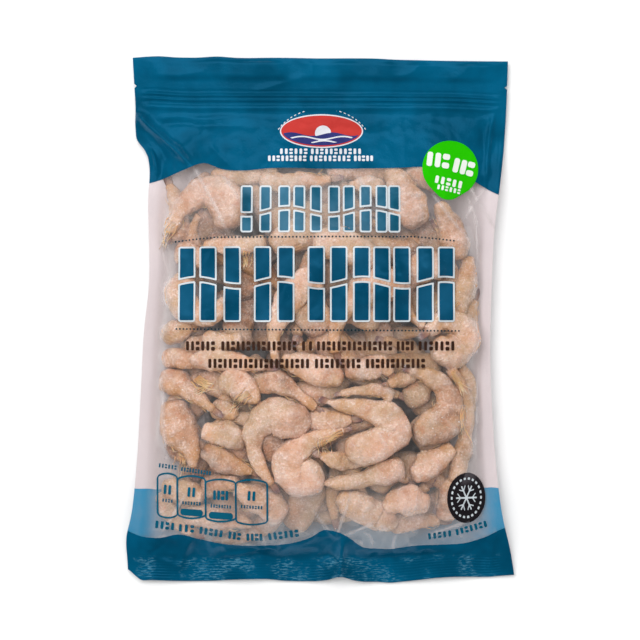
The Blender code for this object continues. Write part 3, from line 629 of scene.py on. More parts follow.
def roughened(points, centres, amounts):
    """Points moved in and out from their centres by noise, as (size of lump, height) pairs say."""
    out = points - centres
    length = np.linalg.norm(out, axis=1, keepdims=True)
    out = out / np.maximum(length, 1e-6)
    total = np.zeros(len(points))
    for size, height in amounts:
        total += height * np.array([noise.noise(Vector(p) / size) for p in points])
    return points + out * np.minimum(total, length[:, 0] * 0.5)[:, None]


def bend_of(path):
    """1 where a path curves to the left on the whole, else -1."""
    step = np.diff(path[:, :2], axis=0)
    turning = step[:-1, 0] * step[1:, 1] - step[:-1, 1] * step[1:, 0]
    return 1 if turning.sum() > 0 else -1


def add_body(pile, lying, draw):
    """One prawn's body: overlapping shell plates on the back, soft flesh on the belly, a blunt head end."""
    sides, stride = (TOP_SIDES, 1) if lying.layer == 0 else (LOWER_SIDES, 2)
    path, breadth, depth = lying.path[::stride], lying.breadth[::stride], lying.depth[::stride]
    t = np.linspace(0, 1, len(path))
    along = path[-1] - path[-2]
    along /= np.linalg.norm(along)
    cap = [path[-1] + along * share * breadth[-1] * 0.62 for share in CAP_SHARES]
    narrow = np.sqrt(1 - np.array(CAP_SHARES) ** 2)
    behind = path[0] - path[1]
    behind /= np.linalg.norm(behind)
    heel = [path[0] + behind * share * breadth[0] * 0.4 for share in CAP_SHARES[::-1]]
    path = np.concatenate([heel, path, cap])
    breadth = np.concatenate([breadth[0] * narrow[::-1], breadth, breadth[-1] * narrow])
    depth = np.concatenate([depth[0] * narrow[::-1], depth, depth[-1] * narrow])
    t = np.concatenate([np.zeros(len(heel)), t, np.full(len(cap), 1.0)])
    bend = bend_of(lying.path)
    roll = draw.gauss(0, 0.3)
    turn = np.arange(sides) / sides * 2 * math.pi
    belly = np.broadcast_to(np.cos(turn - roll) * bend, (len(path), sides))
    phase = (t * PLATES + 0.35) % 1.0
    lip = np.exp(-4.5 * phase) * (t > 0.05) * (t < 0.985)
    margin = 0.50 + 0.12 * np.cos(phase * 2 * math.pi)[:, None]
    shell = 1 - smooth((belly - margin) / 0.16)
    relief = 1 + 0.05 * lip[:, None] * shell - 0.07 * (1 - shell)
    relief = relief + 0.03 * np.sin(phase * math.pi)[:, None] * shell
    slit = np.exp(-((1 + belly) / 0.012) ** 2) * smooth((t - 0.35) / 0.1)[:, None]
    relief = relief - 0.07 * slit * (draw.random() < 0.5)
    points = tube(path, breadth, depth, sides, relief, SQUARENESS)
    centres = np.concatenate([np.repeat(path, sides, axis=0), path[:1], path[-1:]])
    points = roughened(points, centres + (0, 0, 1e-3), BODY_LUMPS if lying.layer == 0 else LOWER_LUMPS)
    ends = [0, 0]
    pile.add_tube(
        points, t, sides, belly=np.concatenate([belly.ravel(), ends]),
        lip=np.concatenate([(lip[:, None] * shell).ravel(), ends]), tone=lying.prawn.tone,
    )


def add_tail(pile, lying, draw):
    """The tail fan: a pointed middle plate and two pairs of thin blades, half closed."""
    size = lying.breadth[0] / 3.0
    along, side, up = (vectors[0] for vectors in frames(lying.path))
    start = lying.path[0] + along * 1.5
    share = np.linspace(0, 1, BLADE_RINGS)
    for spread_angle, tilt, length, width in BLADES:
        angle = spread_angle + draw.gauss(0, 0.05)
        way = -along * math.cos(angle) + side * math.sin(angle) + up * tilt
        path = start + np.outer(share * length * size, way) - np.outer(0.1 * share**2 * length, (0, 0, 1))
        half_width = width * size * np.sin(np.clip(share * 0.86 + 0.14, 0, 1) * math.pi) ** 0.6
        points = tube(path, np.maximum(half_width, 0.12), 0.42 * (1 - 0.6 * share), BLADE_SIDES)
        pile.add_tube(points, share, BLADE_SIDES)


def add_legs(pile, lying, draw):
    """The swimming legs along the belly: a few fine curling threads, swept toward the tail."""
    bend = bend_of(lying.path)
    along, side, up = frames(lying.path)
    for number in range(5):
        t = (number + 1.2) / PLATES
        at = int(t * (RINGS - 1))
        out = side[at] * bend
        base = lying.path[at] + out * lying.breadth[at] * 0.86
        base = base + up[at] * lying.depth[at] * draw.uniform(-0.2, 0.4)
        for _ in range(draw.choice((0, 2, 3))):
            lean = draw.gauss(0.35, 0.2)
            way = -along[at] * math.cos(lean) + out * math.sin(lean) + up[at] * draw.gauss(0, 0.1)
            length, curl = draw.uniform(3.5, 8), draw.gauss(0.5, 0.2)
            share = np.linspace(0, 1, LEG_RINGS)
            wave = np.sin(share * draw.uniform(3, 7)) * length * 0.05
            path = base + np.outer(share * length, way) - np.outer(share**2 * length * curl + wave, out)
            thick = LEG_RADIUS * (1.1 - share * 0.7)
            pile.add_tube(tube(path, thick, thick, LEG_SIDES), share, LEG_SIDES)


# Bunches of leg threads that lie over the prawns: place, heading, length, how many, how far apart and curl
TUFTS = (
    (-79, -37, 305, 13, 12, 9, 0.55), (-71, -40, 250, 10, 9, 7, -0.6), (-45, -46, 218, 16, 14, 7, 0.05),
    (84, 14, 232, 17, 9, 11, 0.05), (83, -33, 297, 24, 7, 4, 0.12), (91, -55, 262, 26, 6, 4, 0.05),
    (-46, 43, 258, 11, 8, 8, 0.1), (14, -71, 200, 20, 6, 5, 0.15), (-93, 62, 230, 18, 7, 7, 0.2),
    (2, -75, 262, 10, 6, 7, 0.3), (-88, -88, 255, 12, 6, 8, 0.2),
)


def add_tufts(pile, tree, draw):
    """Threads that start side by side, fan out and curl, laid over what is below them."""
    share = np.linspace(0, 1, TUFT_RINGS)
    thick = TUFT_RADIUS * (1.1 - share * 0.6)
    for start_x, start_y, heading, usual_length, threads, apart, usual_curl in TUFTS:
        c, s = math.cos(math.radians(heading)), math.sin(math.radians(heading))
        for _ in range(threads):
            shift, length = draw.gauss(0, apart / 3), usual_length * draw.uniform(0.6, 1.1)
            curl, wobble = draw.gauss(usual_curl, 0.15), draw.uniform(0, 6)
            off = shift + length * (curl * share**2 + 0.03 * np.sin(share * 9 + wobble))
            x = start_x + c * share * length - s * off
            y = start_y + s * share * length + c * off
            z = np.array([height_at(tree, *place, 10.0) for place in zip(x, y)])
            z = np.maximum.reduce([z, np.roll(z, 1) * (share > 0), np.roll(z, -1) * (share < 1)]) + 0.25
            points = tube(np.column_stack([x, y, z]), thick, thick, LEG_SIDES)
            pile.add_tube(points, share, LEG_SIDES)


def tree_of(*objects):
    """A ray-casting tree of several pieces together, in metres."""
    points, faces = [], []
    for one in objects:
        start = len(points)
        points += [vertex.co.copy() for vertex in one.data.vertices]
        faces += [[start + corner for corner in polygon.vertices] for polygon in one.data.polygons]
    return BVHTree.FromPolygons(points, faces)


def contents_height(tree):
    """Height of the prawns under each field point, or nothing."""
    top = np.zeros_like(GRID_X)
    for row in np.nonzero((GRID_Y[:, 0] > CONTENTS_Y[0]) & (GRID_Y[:, 0] < CONTENTS_Y[1]))[0]:
        top[row] = [height_at(tree, x, GRID_Y[row, 0], 0) for x in GRID_X[row]]
    return top


# Creases pressed into the front film: two ends, height and half width
CREASES = (
    (-117, 131, -80, 97, 5.6, 2.8), (-117, 120, -92, 96, -3.4, 2.6), (-109, 112, -104, 94, 2.8, 1.6),
    (-79, 95, -55, 50, 0.8, 1.0), (-92, 112, -83, 97, 1.6, 2.2), (-70, 112, -52, 92, -1.0, 2.6),
    (-104, 130, -38, 129, 0.9, 1.6), (-100, 126, -38, 123, -1.0, 1.6), (111, 130, 105, 84, 2.6, 1.7),
    (-80, 96, -53, 48, 2.4, 7.0), (-62, 92, -44, 62, 0.7, 1.2), (22, 92, 34, 70, 1.4, 2.0),
    (80, 88, 72, 42, 1.4, 6.0), (8, 92, 22, 40, -1.2, 6.0), (104, 126, 108, 96, -1.4, 3.2),
    (71, 79, 95, 50, 1.4, 0.9), (105, 84, 92, 64, 1.3, 1.0), (94, 78, 104, 50, 1.2, 1.0),
    (98, 66, 101, 30, 1.4, 1.0), (-104, 66, -98, 30, 1.4, 1.1), (-101, -40, -97, -92, 1.2, 1.0),
    (101, -20, 99, -84, 1.3, 1.0), (96, 84, 112, 56, 1.6, 2.2), (88, 70, 110, 78, -0.9, 2.6),
    (-44, 147, -8, 156, 0.7, 2.4), (4, 148, 22, 157, -0.6, 1.8), (-92, -160, -82, -138, 2.2, 2.6),
    (-110, -150, -94, -157, 1.2, 2.0), (-118, -157, -98, -142, -1.2, 2.4), (-66, -153, -30, -146, 1.0, 1.8),
    (-44, -146, -34, -154, -1.3, 3.0), (12, -167, 14, -138, 3.2, 2.2), (3, -166, 6, -146, -1.6, 3.0),
    (22, -164, 34, -150, -1.2, 3.6), (40, -153, 88, -149, -0.9, 1.8), (108, -160, 112, -134, 1.4, 2.0),
    (10, -138, 20, -108, 1.4, 0.9), (8, -138, -8, -116, 1.2, 0.9), (12, -138, 34, -128, 1.1, 1.0),
    (70, -138, 98, -126, 1.5, 1.0), (-100, -134, -86, -112, 1.5, 1.0),
)


def crease_height(x, y):
    """Height of the creases at places in plan."""
    total = np.zeros_like(x)
    for x0, y0, x1, y1, height, half_width in CREASES:
        length = math.hypot(x1 - x0, y1 - y0)
        along = ((x - x0) * (x1 - x0) + (y - y0) * (y1 - y0)) / length
        aside = ((x - x0) * (y1 - y0) - (y - y0) * (x1 - x0)) / length
        aside = aside + 0.8 * ripple(x, y, 14.0, 5)
        fade = smooth((along + 4) / 8) * smooth((length + 4 - along) / (0.5 * length))
        near = np.abs(aside / half_width)
        total = total + height * fade * np.exp(-(near**1.4))
    return total


def crumple(x, y):
    """Small soft facets of slack film."""
    warp_x, warp_y = x + 5 * ripple(x, y, 21.0, 0), y + 5 * ripple(x, y, 19.0, 1)
    ridged = 0.5 - np.abs(ripple(warp_x, warp_y, 13.0, 2))
    fine = 0.5 - np.abs(ripple(warp_x, warp_y, 6.0, 3))
    return 0.6 * ridged + 0.35 * fine


def film_fields(tree):
    """Fields: the front film stretched over the prawns, its milkiness, and a mask of its ridges that carry a
    painted highlight.
    """
    held = (CAD_TOP - CAD_BACK < SEALED_THICKNESS) | (GRID_Y + CENTRE[1] > ZIP_LOW_Y - 0.5)
    held |= (np.abs(GRID_X) > HELD_PAST[0]) | (np.abs(GRID_Y) > HELD_PAST[1])
    sealed = BACK_FILM + FILM_GAP
    top = contents_height(tree)
    lowest = np.maximum(np.where(top > 0, top + FILM_CLEARANCE, 0), sealed + 0.3)
    front = np.where(held, sealed, np.maximum(blurred(CAD_TOP, 2), lowest))
    over_fill = smooth((top - 12) / 20) * SAG_PER_STEP
    for _ in range(RELAX_STEPS):
        middle = (front[:-2, 1:-1] + front[2:, 1:-1] + front[1:-1, :-2] + front[1:-1, 2:]) / 4
        inner = np.maximum(middle - over_fill[1:-1, 1:-1], lowest[1:-1, 1:-1])
        front[1:-1, 1:-1] = np.where(held[1:-1, 1:-1], front[1:-1, 1:-1], inner)
    slack = blurred((~held).astype(float), 8)
    crumpled = 0.25 + slack * (0.75 + 0.9 * smooth((-128 - GRID_Y) / 8))
    extra = crease_height(GRID_X, GRID_Y) + crumple(GRID_X, GRID_Y) * crumpled
    front = blurred(front, 2)
    front = np.maximum(front + extra, np.maximum(top + LEAST_CLEARANCE, sealed))
    under = np.maximum(blurred(top, 1), sealed)
    # Where the film stands up above its surroundings: a mask for the painted highlight on its creases.
    ridge_highlight = np.clip((front - blurred(front, 4)) / 0.5, 0, 1)
    upper = smooth((GRID_Y - 30) / 55) * smooth((top - 5) / 10)
    beside = smooth((np.abs(GRID_X) - 78) / 22)
    lower = smooth((-92 - GRID_Y) / 42) * smooth((113 - np.abs(GRID_X)) / 8)
    haze = smooth((front - under - 2) / 12) * (0.12 + 0.88 * beside) + 0.5 * upper + 0.75 * lower
    return front, blurred(np.clip(haze, 0, 1), 2), ridge_highlight


def strip_ridges(y):
    """The press-to-close strip's profile across its height."""
    total = 0
    for middle, half, height in ZIP_PROFILE:
        total = total + height * np.exp(-(((y - middle) / half) ** 2))
    return total


def film_relief():
    """What the film points carry besides the fields: strip, crimp ribs and side seal lines."""
    from_side = (1 - np.abs(U)) * POUCH_WIDTH / 2
    inner = smooth((from_side - 3) / 10)
    wander = 0.5 * ripple(FILM_X, FILM_Y, 40.0, 4)
    uneven = 0.8 + 0.35 * ripple(FILM_X, FILM_Y, 22.0, 7)
    relief = strip_ridges(Y_FLAT + wander * smooth((45 - from_side) / 45) * 4) * inner * uneven
    in_seal = smooth((-POUCH_LENGTH / 2 + BOTTOM_SEAL - Y_FLAT) / 1.5)
    ribs = np.sin(Y_FLAT * 2 * math.pi / RIB_PITCH + 0.8 * ripple(FILM_X, FILM_Y, 18.0, 6))
    patchy = 0.35 + 0.65 * smooth(0.5 + 1.2 * ripple(FILM_X, FILM_Y, 12.0, 7))
    relief = relief + 0.27 * ribs * in_seal * patchy * smooth((from_side - 4) / 8)
    beside = (Y_FLAT < ZIP_LOW_Y) * (Y_FLAT > -POUCH_LENGTH / 2 + BOTTOM_SEAL)
    lines = sum(np.exp(-(((from_side - place) / 0.45) ** 2)) for place in SEAL_LINES)
    header = smooth((Y_FLAT - 152) / 4) * smooth((166.5 - Y_FLAT) / 3) * smooth((from_side - 3) / 12)
    soft = 0.9 + 0.9 * ripple(FILM_X, FILM_Y, 24.0, 2) + 1.6 * (0.5 - np.abs(ripple(FILM_X, FILM_Y, 17.0, 3)))
    return relief + 0.14 * lines * beside + header * np.maximum(soft, 0)


def front_points(front):
    """The front film's points, its outermost ring brought down to the back film."""
    z = on_field(front, FILM_X, FILM_Y) + film_relief()
    low = on_field(BACK_FILM, FILM_X, FILM_Y)
    z = np.maximum(z, low + RIM_GAP)
    for edge in (np.s_[0, :], np.s_[-1, :], np.s_[:, 0], np.s_[:, -1]):
        z[edge] = low[edge] + RIM_GAP
    return np.stack([FILM_X, FILM_Y, z], axis=-1)


def add(tree, kind, inputs=None, **settings):
    """A shader node with its settings, and its sockets set or linked."""
    made = tree.nodes.new("ShaderNode" + kind)
    for name, value in settings.items():
        setattr(made, name, value)
    for name, value in (inputs or {}).items():
        if isinstance(value, bpy.types.NodeSocket):
            tree.links.new(value, made.inputs[name])
        else:
            made.inputs[name].default_value = value
    return made


def mixed(tree, factor, first, second):
    """Two colours mixed by a factor."""
    return add(tree, "Mix", {0: factor, 6: first, 7: second}, data_type="RGBA").outputs[2]


def calc(tree, operation, first, second=0.0, third=0.0, clamp=False):
    return add(tree, "Math", {0: first, 1: second, 2: third}, operation=operation, use_clamp=clamp).outputs[0]


def ramp(tree, factor, *stops):
    """A colour ramp's output through (place, colour) stops."""
    node = add(tree, "ValToRGB", {0: factor})
    elements = node.color_ramp.elements
    while len(elements) < len(stops):
        elements.new(0.5)
    for element, (place, colour) in zip(elements, stops):
        element.position = place
        element.color = (*colour, 1)
    return node.outputs[0]


def stepped(tree, value, low, high):
    """0 below low, 1 above high, soft between."""
    node = add(tree, "MapRange", {0: value, 1: low, 2: high}, interpolation_type="SMOOTHSTEP", clamp=True)
    return node.outputs[0]


def noise_at(tree, place, scale, detail=2.0, roughness=0.5):
    sockets = {"Vector": place, "Scale": scale, "Detail": detail, "Roughness": roughness}
    return add(tree, "TexNoise", sockets).outputs["Fac"]


def attribute(tree, name):
    return add(tree, "Attribute", attribute_name=name).outputs["Fac"]


def group(name, inputs, outputs):
    """An empty node group with float sockets, its tree, its inputs by name and its output node."""
    tree = bpy.data.node_groups.new(name, "ShaderNodeTree")
    for socket, value in inputs.items():
        tree.interface.new_socket(socket, in_out="INPUT", socket_type="NodeSocketFloat").default_value = value
    for socket in outputs:
        tree.interface.new_socket(socket, in_out="OUTPUT", socket_type="NodeSocketFloat")
    entry, leave = tree.nodes.new("NodeGroupInput"), tree.nodes.new("NodeGroupOutput")
    return tree, entry.outputs, leave.inputs


def frost_group():
    """Frost on a frozen surface: a mask of rime patches and specks, and its height."""
    tree, given, out = group("frost", {"Amount": 0.5, "Grain": 900.0}, ("Mask", "Height"))
    place = add(tree, "TexCoord").outputs["Object"]
    patches = noise_at(tree, place, 95.0, 3.0, 0.6)
    grain = noise_at(tree, place, given["Grain"], 2.0, 0.6)
    limit = calc(tree, "SUBTRACT", 0.72, calc(tree, "MULTIPLY", given["Amount"], 0.4))
    patch = stepped(tree, calc(tree, "SUBTRACT", calc(tree, "ADD", patches, 0.5), limit), 0.42, 0.66)
    speck = stepped(tree, grain, 0.48, 0.68)
    mask = calc(tree, "MULTIPLY", patch, calc(tree, "MULTIPLY_ADD", speck, 0.65, 0.35), clamp=True)
    tree.links.new(mask, out["Mask"])
    height = calc(tree, "MULTIPLY_ADD", grain, 0.55, calc(tree, "MULTIPLY", patches, 0.3))
    height = calc(tree, "MULTIPLY_ADD", noise_at(tree, place, 300.0, 3.0, 0.6), 0.45, height)
    tree.links.new(height, out["Height"])
    return tree


def film_group():
    """Handling marks on film: soft dimples, fine wrinkles and scuffs, as a height and a mask."""
    tree, given, out = group("film_marks", {"Dimples": 160.0, "Wrinkles": 0.2}, ("Height", "Scuffs"))
    place = add(tree, "TexCoord").outputs["Object"]
    dimples = noise_at(tree, place, given["Dimples"], 2.0, 0.45)
    wrinkles = calc(tree, "ABSOLUTE", calc(tree, "SUBTRACT", noise_at(tree, place, 330.0, 3.0, 0.6), 0.5))
    tree.links.new(calc(tree, "MULTIPLY_ADD", wrinkles, given["Wrinkles"], dimples), out["Height"])
    tree.links.new(stepped(tree, noise_at(tree, place, 420.0, 5.0, 0.7), 0.5, 0.75), out["Scuffs"])
    return tree


FROST, FILM_MARKS = frost_group(), film_group()


def use(tree, which, **inputs):
    node = tree.nodes.new("ShaderNodeGroup")
    node.node_tree = which
    for name, value in inputs.items():
        node.inputs[name].default_value = value
    return node.outputs


def surface(name, **sockets):
    """A material with a Principled shader whose sockets have these values."""
    made = bpy.data.materials.new(name)
    made.use_nodes = True
    shader = made.node_tree.nodes["Principled BSDF"]
    for socket, value in sockets.items():
        shader.inputs[socket.replace("_", " ")].default_value = value
    return made, made.node_tree, shader


def bump(tree, shader, height, strength, distance):
    node = add(tree, "Bump", {"Strength": strength, "Distance": distance * MM, "Height": height})
    tree.links.new(node.outputs[0], shader.inputs["Normal"])


PALE, TAN, BROWN = (0.655, 0.37, 0.245), (0.48, 0.245, 0.140), (0.19, 0.088, 0.048)
RUST, GOLD, RIME = (0.46, 0.165, 0.07), (0.57, 0.285, 0.10), (0.84, 0.65, 0.56)
STRAW = (0.52, 0.345, 0.205)


def shell_material():
    """Raw frozen prawn: pale to brown flesh under dull shell, rust and gold patches, rime all over, and
    painted shade browning the sides that face away from up.
    """
    made, tree, shader = surface(
        "frozen_shell", Subsurface_Weight=0.15, Subsurface_Radius=(3.0, 1.4, 0.7),
        Subsurface_Scale=0.001, Specular_IOR_Level=0.4,
    )
    place = add(tree, "TexCoord").outputs["Object"]
    tone, along, belly = attribute(tree, "tone"), attribute(tree, "along"), attribute(tree, "belly")
    broad, mottle = noise_at(tree, place, 55.0, 2.0, 0.5), noise_at(tree, place, 230.0, 5.0, 0.7)
    upward = add(tree, "SeparateXYZ", {0: add(tree, "NewGeometry").outputs["Normal"]}).outputs["Z"]
    level = calc(tree, "ADD", tone, calc(tree, "MULTIPLY_ADD", broad, 1.3, -0.58))
    level = calc(tree, "ADD", level, calc(tree, "MULTIPLY_ADD", mottle, 1.2, -0.6))
    # Painted shade: surfaces that face sideways or down are pushed toward brown.
    level = calc(tree, "MULTIPLY_ADD", calc(tree, "SUBTRACT", 1.0, upward), 0.4, level)
    colour = ramp(tree, level, (0.0, PALE), (0.5, TAN), (1.0, BROWN))
    straw = stepped(tree, noise_at(tree, place, 26.0, 2.0, 0.5), 0.44, 0.62)
    colour = mixed(tree, calc(tree, "MULTIPLY", straw, 0.75), colour, (*STRAW, 1))
    rust = stepped(tree, noise_at(tree, place, 135.0, 5.0, 0.72), 0.53, 0.64)
    colour = mixed(tree, calc(tree, "MULTIPLY", rust, 0.45), colour, (*RUST, 1))
    tail_end = calc(tree, "SUBTRACT", 1.0, stepped(tree, along, 0.05, 0.5))
    inner = stepped(tree, belly, 0.1, 0.9)
    golden = calc(tree, "MAXIMUM", calc(tree, "MULTIPLY", tail_end, 0.6), calc(tree, "MULTIPLY", inner, 0.5))
    golden = calc(tree, "MULTIPLY", golden, calc(tree, "MULTIPLY_ADD", mottle, 1.2, 0.3), clamp=True)
    colour = mixed(tree, golden, colour, (*GOLD, 1))
    lip = attribute(tree, "lip")
    colour = mixed(tree, calc(tree, "MULTIPLY", stepped(tree, lip, 0.3, 1.0), 0.15), colour, (*RIME, 1))
    frost = use(tree, FROST, Amount=0.66, Grain=620.0)
    rimed = calc(tree, "MULTIPLY", frost["Mask"], calc(tree, "MULTIPLY_ADD", tone, -0.8, 1.0))
    colour = mixed(tree, rimed, colour, (*RIME, 1))
    crystals = stepped(tree, noise_at(tree, place, 780.0, 2.0, 0.6), 0.56, 0.68)
    colour = mixed(tree, calc(tree, "MULTIPLY", crystals, 0.34), colour, (*RIME, 1))
    tree.links.new(colour, shader.inputs["Base Color"])
    tree.links.new(calc(tree, "MULTIPLY_ADD", frost["Mask"], 0.2, 0.5), shader.inputs["Roughness"])
    bump(tree, shader, frost["Height"], 1.0, 1.6)
    return made


def tail_material():
    """Tail blades: golden at the root, purple brown toward the tip."""
    made, tree, shader = surface(
        "tail_blades", Roughness=0.42, Subsurface_Weight=0.15, Subsurface_Scale=0.001
    )
    stops = (0.0, GOLD), (0.35, (0.36, 0.17, 0.10)), (0.8, (0.15, 0.065, 0.065)), (1.0, (0.24, 0.12, 0.11))
    colour = ramp(tree, attribute(tree, "along"), *stops)
    frost = use(tree, FROST, Amount=0.5, Grain=900.0)
    colour = mixed(tree, calc(tree, "MULTIPLY", frost["Mask"], 0.6), colour, (*RIME, 1))
    tree.links.new(colour, shader.inputs["Base Color"])
    bump(tree, shader, frost["Height"], 0.5, 0.3)
    return made


def leg_material():
    """Swimming legs: thin, straw gold, with pale tips."""
    made, tree, shader = surface(
        "swimming_legs", Roughness=0.4, Subsurface_Weight=0.2, Subsurface_Scale=0.001
    )
    stops = (0.0, (0.56, 0.28, 0.10)), (0.6, (0.74, 0.46, 0.21)), (1.0, (0.78, 0.60, 0.42))
    colour = ramp(tree, attribute(tree, "along"), *stops)
    frost = use(tree, FROST, Amount=0.4, Grain=1100.0)
    colour = mixed(tree, calc(tree, "MULTIPLY", frost["Mask"], 0.5), colour, (*RIME, 1))
    tree.links.new(colour, shader.inputs["Base Color"])
    return made


def ice_material():
    made, tree, shader = surface("ice_grains", Roughness=0.3, Coat_Weight=0.5, Coat_Roughness=0.1)
    place = add(tree, "TexCoord").outputs["Object"]
    colour = mixed(tree, noise_at(tree, place, 500.0), (0.82, 0.77, 0.75, 1), (0.97, 0.94, 0.92, 1))
    tree.links.new(colour, shader.inputs["Base Color"])
    return made


def clear_film_material():
    """Clear film: nearly unseen where it clings, milky where it stands off, whiter on slopes, with a painted
    highlight along its ridges.
    """
    made, tree, shader = surface("clear_film", Base_Color=(0.80, 0.725, 0.71, 1), IOR=2.6)
    marks = use(tree, FILM_MARKS, Dimples=90.0)
    place = add(tree, "TexCoord").outputs["Object"]
    facing = add(tree, "LayerWeight", {"Blend": 0.35}).outputs["Facing"]
    haze = calc(tree, "MULTIPLY_ADD", noise_at(tree, place, 22.0, 3.0, 0.6), 0.09, -0.01)
    haze = calc(tree, "MULTIPLY_ADD", marks["Scuffs"], 0.03, haze)
    haze = calc(tree, "MULTIPLY_ADD", attribute(tree, "haze"), 0.27, haze)
    # Painted highlight: the film is made whiter and more opaque along its ridges.
    haze = calc(tree, "MULTIPLY_ADD", attribute(tree, "ridge_highlight"), 0.3, haze)
    slope = calc(tree, "MULTIPLY", calc(tree, "POWER", facing, 2.2), 0.6)
    tree.links.new(calc(tree, "ADD", haze, slope, clamp=True), shader.inputs["Alpha"])
    tree.links.new(calc(tree, "MULTIPLY_ADD", marks["Scuffs"], 0.12, 0.1), shader.inputs["Roughness"])
    bump(tree, shader, marks["Height"], 0.15, 0.5)
    return made


# Colour of the painted highlight streaks on the bottom seal's crimp ribs
CRIMP_HIGHLIGHT = (0.085, 0.25, 0.35)


def crimp_highlights(tree, place):
    """Mask: short bright streaks in patches along the bottom seal, a painted highlight on its crimp ribs."""
    flattened = add(tree, "VectorMath", {0: place, 1: (1, 4, 1)}, operation="MULTIPLY").outputs[0]
    streaks = stepped(tree, noise_at(tree, flattened, 300.0, 3.0, 0.6), 0.48, 0.62)
    patches = stepped(tree, noise_at(tree, place, 60.0, 3.0, 0.6), 0.44, 0.56)
    marks = calc(tree, "MULTIPLY", calc(tree, "MULTIPLY", streaks, patches), 0.6)
    return calc(tree, "MULTIPLY", marks, attribute(tree, "crimp"))


def ink_material(
    name, colour, roughness=0.2, variation=0.12, gloss=0.4, reflection_haze=0.0, wrinkles=0.2, crimped=False
):
    """Ink under gloss film: slightly uneven colour and the film's own dimples, and where asked, lighter
    patches whitened further as a painted reflection haze.
    """
    tint = tuple(0.1 + 0.9 * channel / max(colour) for channel in colour)
    made, tree, shader = surface(name, Specular_IOR_Level=gloss, Specular_Tint=(*tint, 1))
    marks = use(tree, FILM_MARKS, Dimples=120.0, Wrinkles=wrinkles)
    place = add(tree, "TexCoord").outputs["Object"]
    darker = tuple(channel * (1 - variation) for channel in colour)
    # Painted reflection haze: extra whiteness added to the ink's lighter patches.
    lighter = tuple(min(1, channel * (1 + variation) + reflection_haze) for channel in colour)
    cloudy = stepped(tree, noise_at(tree, place, 30.0, 3.0, 0.55), 0.3, 0.7)
    ink = mixed(tree, cloudy, (*darker, 1), (*lighter, 1))
    if crimped:
        # The crimped bottom seal gets painted highlight streaks
        ink = mixed(tree, crimp_highlights(tree, place), ink, (*CRIMP_HIGHLIGHT, 1))
    tree.links.new(ink, shader.inputs["Base Color"])
    tree.links.new(calc(tree, "MULTIPLY_ADD", marks["Scuffs"], 0.12, roughness), shader.inputs["Roughness"])
    bump(tree, shader, marks["Height"], 0.3, 0.5)
    return made


BLUE = (0.0004, 0.072, 0.145)
BACK_BLUE = (0.008, 0.225, 0.41)
BACK_BAND_Y = (-107.0, 106.0)
BACK_WHITES = (0.59, 0.515, 0.53, 1), (0.69, 0.61, 0.62, 1)


def back_film_material():
    """White back film with a blue band at each end, paler where it is seen from inside."""
    made, tree, shader = surface("back_film")
    place = add(tree, "TexCoord").outputs["Object"]
    height = add(tree, "SeparateXYZ", {0: place}).outputs["Y"]
    wander = noise_at(tree, place, 25.0, 3.0, 0.6)
    height = calc(tree, "MULTIPLY_ADD", wander, 0.012, calc(tree, "SUBTRACT", height, 0.006))
    low = calc(tree, "LESS_THAN", height, BACK_BAND_Y[0] * MM)
    high = calc(tree, "GREATER_THAN", height, BACK_BAND_Y[1] * MM)
    inside = add(tree, "NewGeometry").outputs["Backfacing"]
    blue = mixed(tree, inside, (*BLUE, 1), (*BACK_BLUE, 1))
    white = mixed(tree, noise_at(tree, place, 30.0, 3.0, 0.6), *BACK_WHITES)
    banded = mixed(tree, calc(tree, "ADD", low, high, clamp=True), white, blue)
    tree.links.new(banded, shader.inputs["Base Color"])
    marks = use(tree, FILM_MARKS, Dimples=120.0)
    tree.links.new(calc(tree, "MULTIPLY_ADD", marks["Scuffs"], 0.15, 0.33), shader.inputs["Roughness"])
    bump(tree, shader, marks["Height"], 0.3, 0.5)
    return made


def make_prawns():
    """The prawns of the top layer with tails and legs, and the plainer ones beneath."""
    draw = random.Random(RANDOM_SEED + 2)
    top, lower, tails, legs = Pile(), Pile(), Pile(), Pile()
    for lying in HEAP:
        add_body(top if lying.layer == 0 else lower, lying, draw)
        if lying.breadth[0] < THICKEST_TAIL and lying.layer < 2:
            add_tail(tails, lying, draw)
        if lying.layer == 0:
            add_legs(legs, lying, draw)
    shell = shell_material()
    made = (
        top.made("prawns_top", shell, "prawn"), lower.made("prawns_below", shell, "prawn"),
        tails.made("prawn_tails", tail_material(), "prawn"),
    )
    add_tufts(legs, tree_of(*made), draw)
    return (*made, legs.made("prawn_legs", leg_material(), "prawn"))


def make_ice(tree):
    """Grains of ice on the prawns, small double cones of random size and lean."""
    draw = random.Random(RANDOM_SEED + 3)
    pile = Pile()
    faces = [(k, (k + 1) % 5, 5) for k in range(5)] + [((k + 1) % 5, k, 6) for k in range(5)]
    for _ in range(ICE_GRAINS):
        x, y = (draw.uniform(*side) for side in ICE_BOX)
        z = height_at(tree, x, y, None)
        if z is None:
            continue
        size = draw.uniform(*ICE_SIZES) * (1.8 if draw.random() < 0.08 else 1)
        lean = Vector([draw.gauss(0, 1) for _ in range(3)]).to_track_quat("Z", "Y")
        scale = size, size * draw.uniform(0.6, 1), size
        pile.add((np.array(ICE_SHAPE) * scale) @ np.array(lean.to_matrix()).T + (x, y, z), faces)
    pile.made("ice_grains", ice_material(), "prawn")


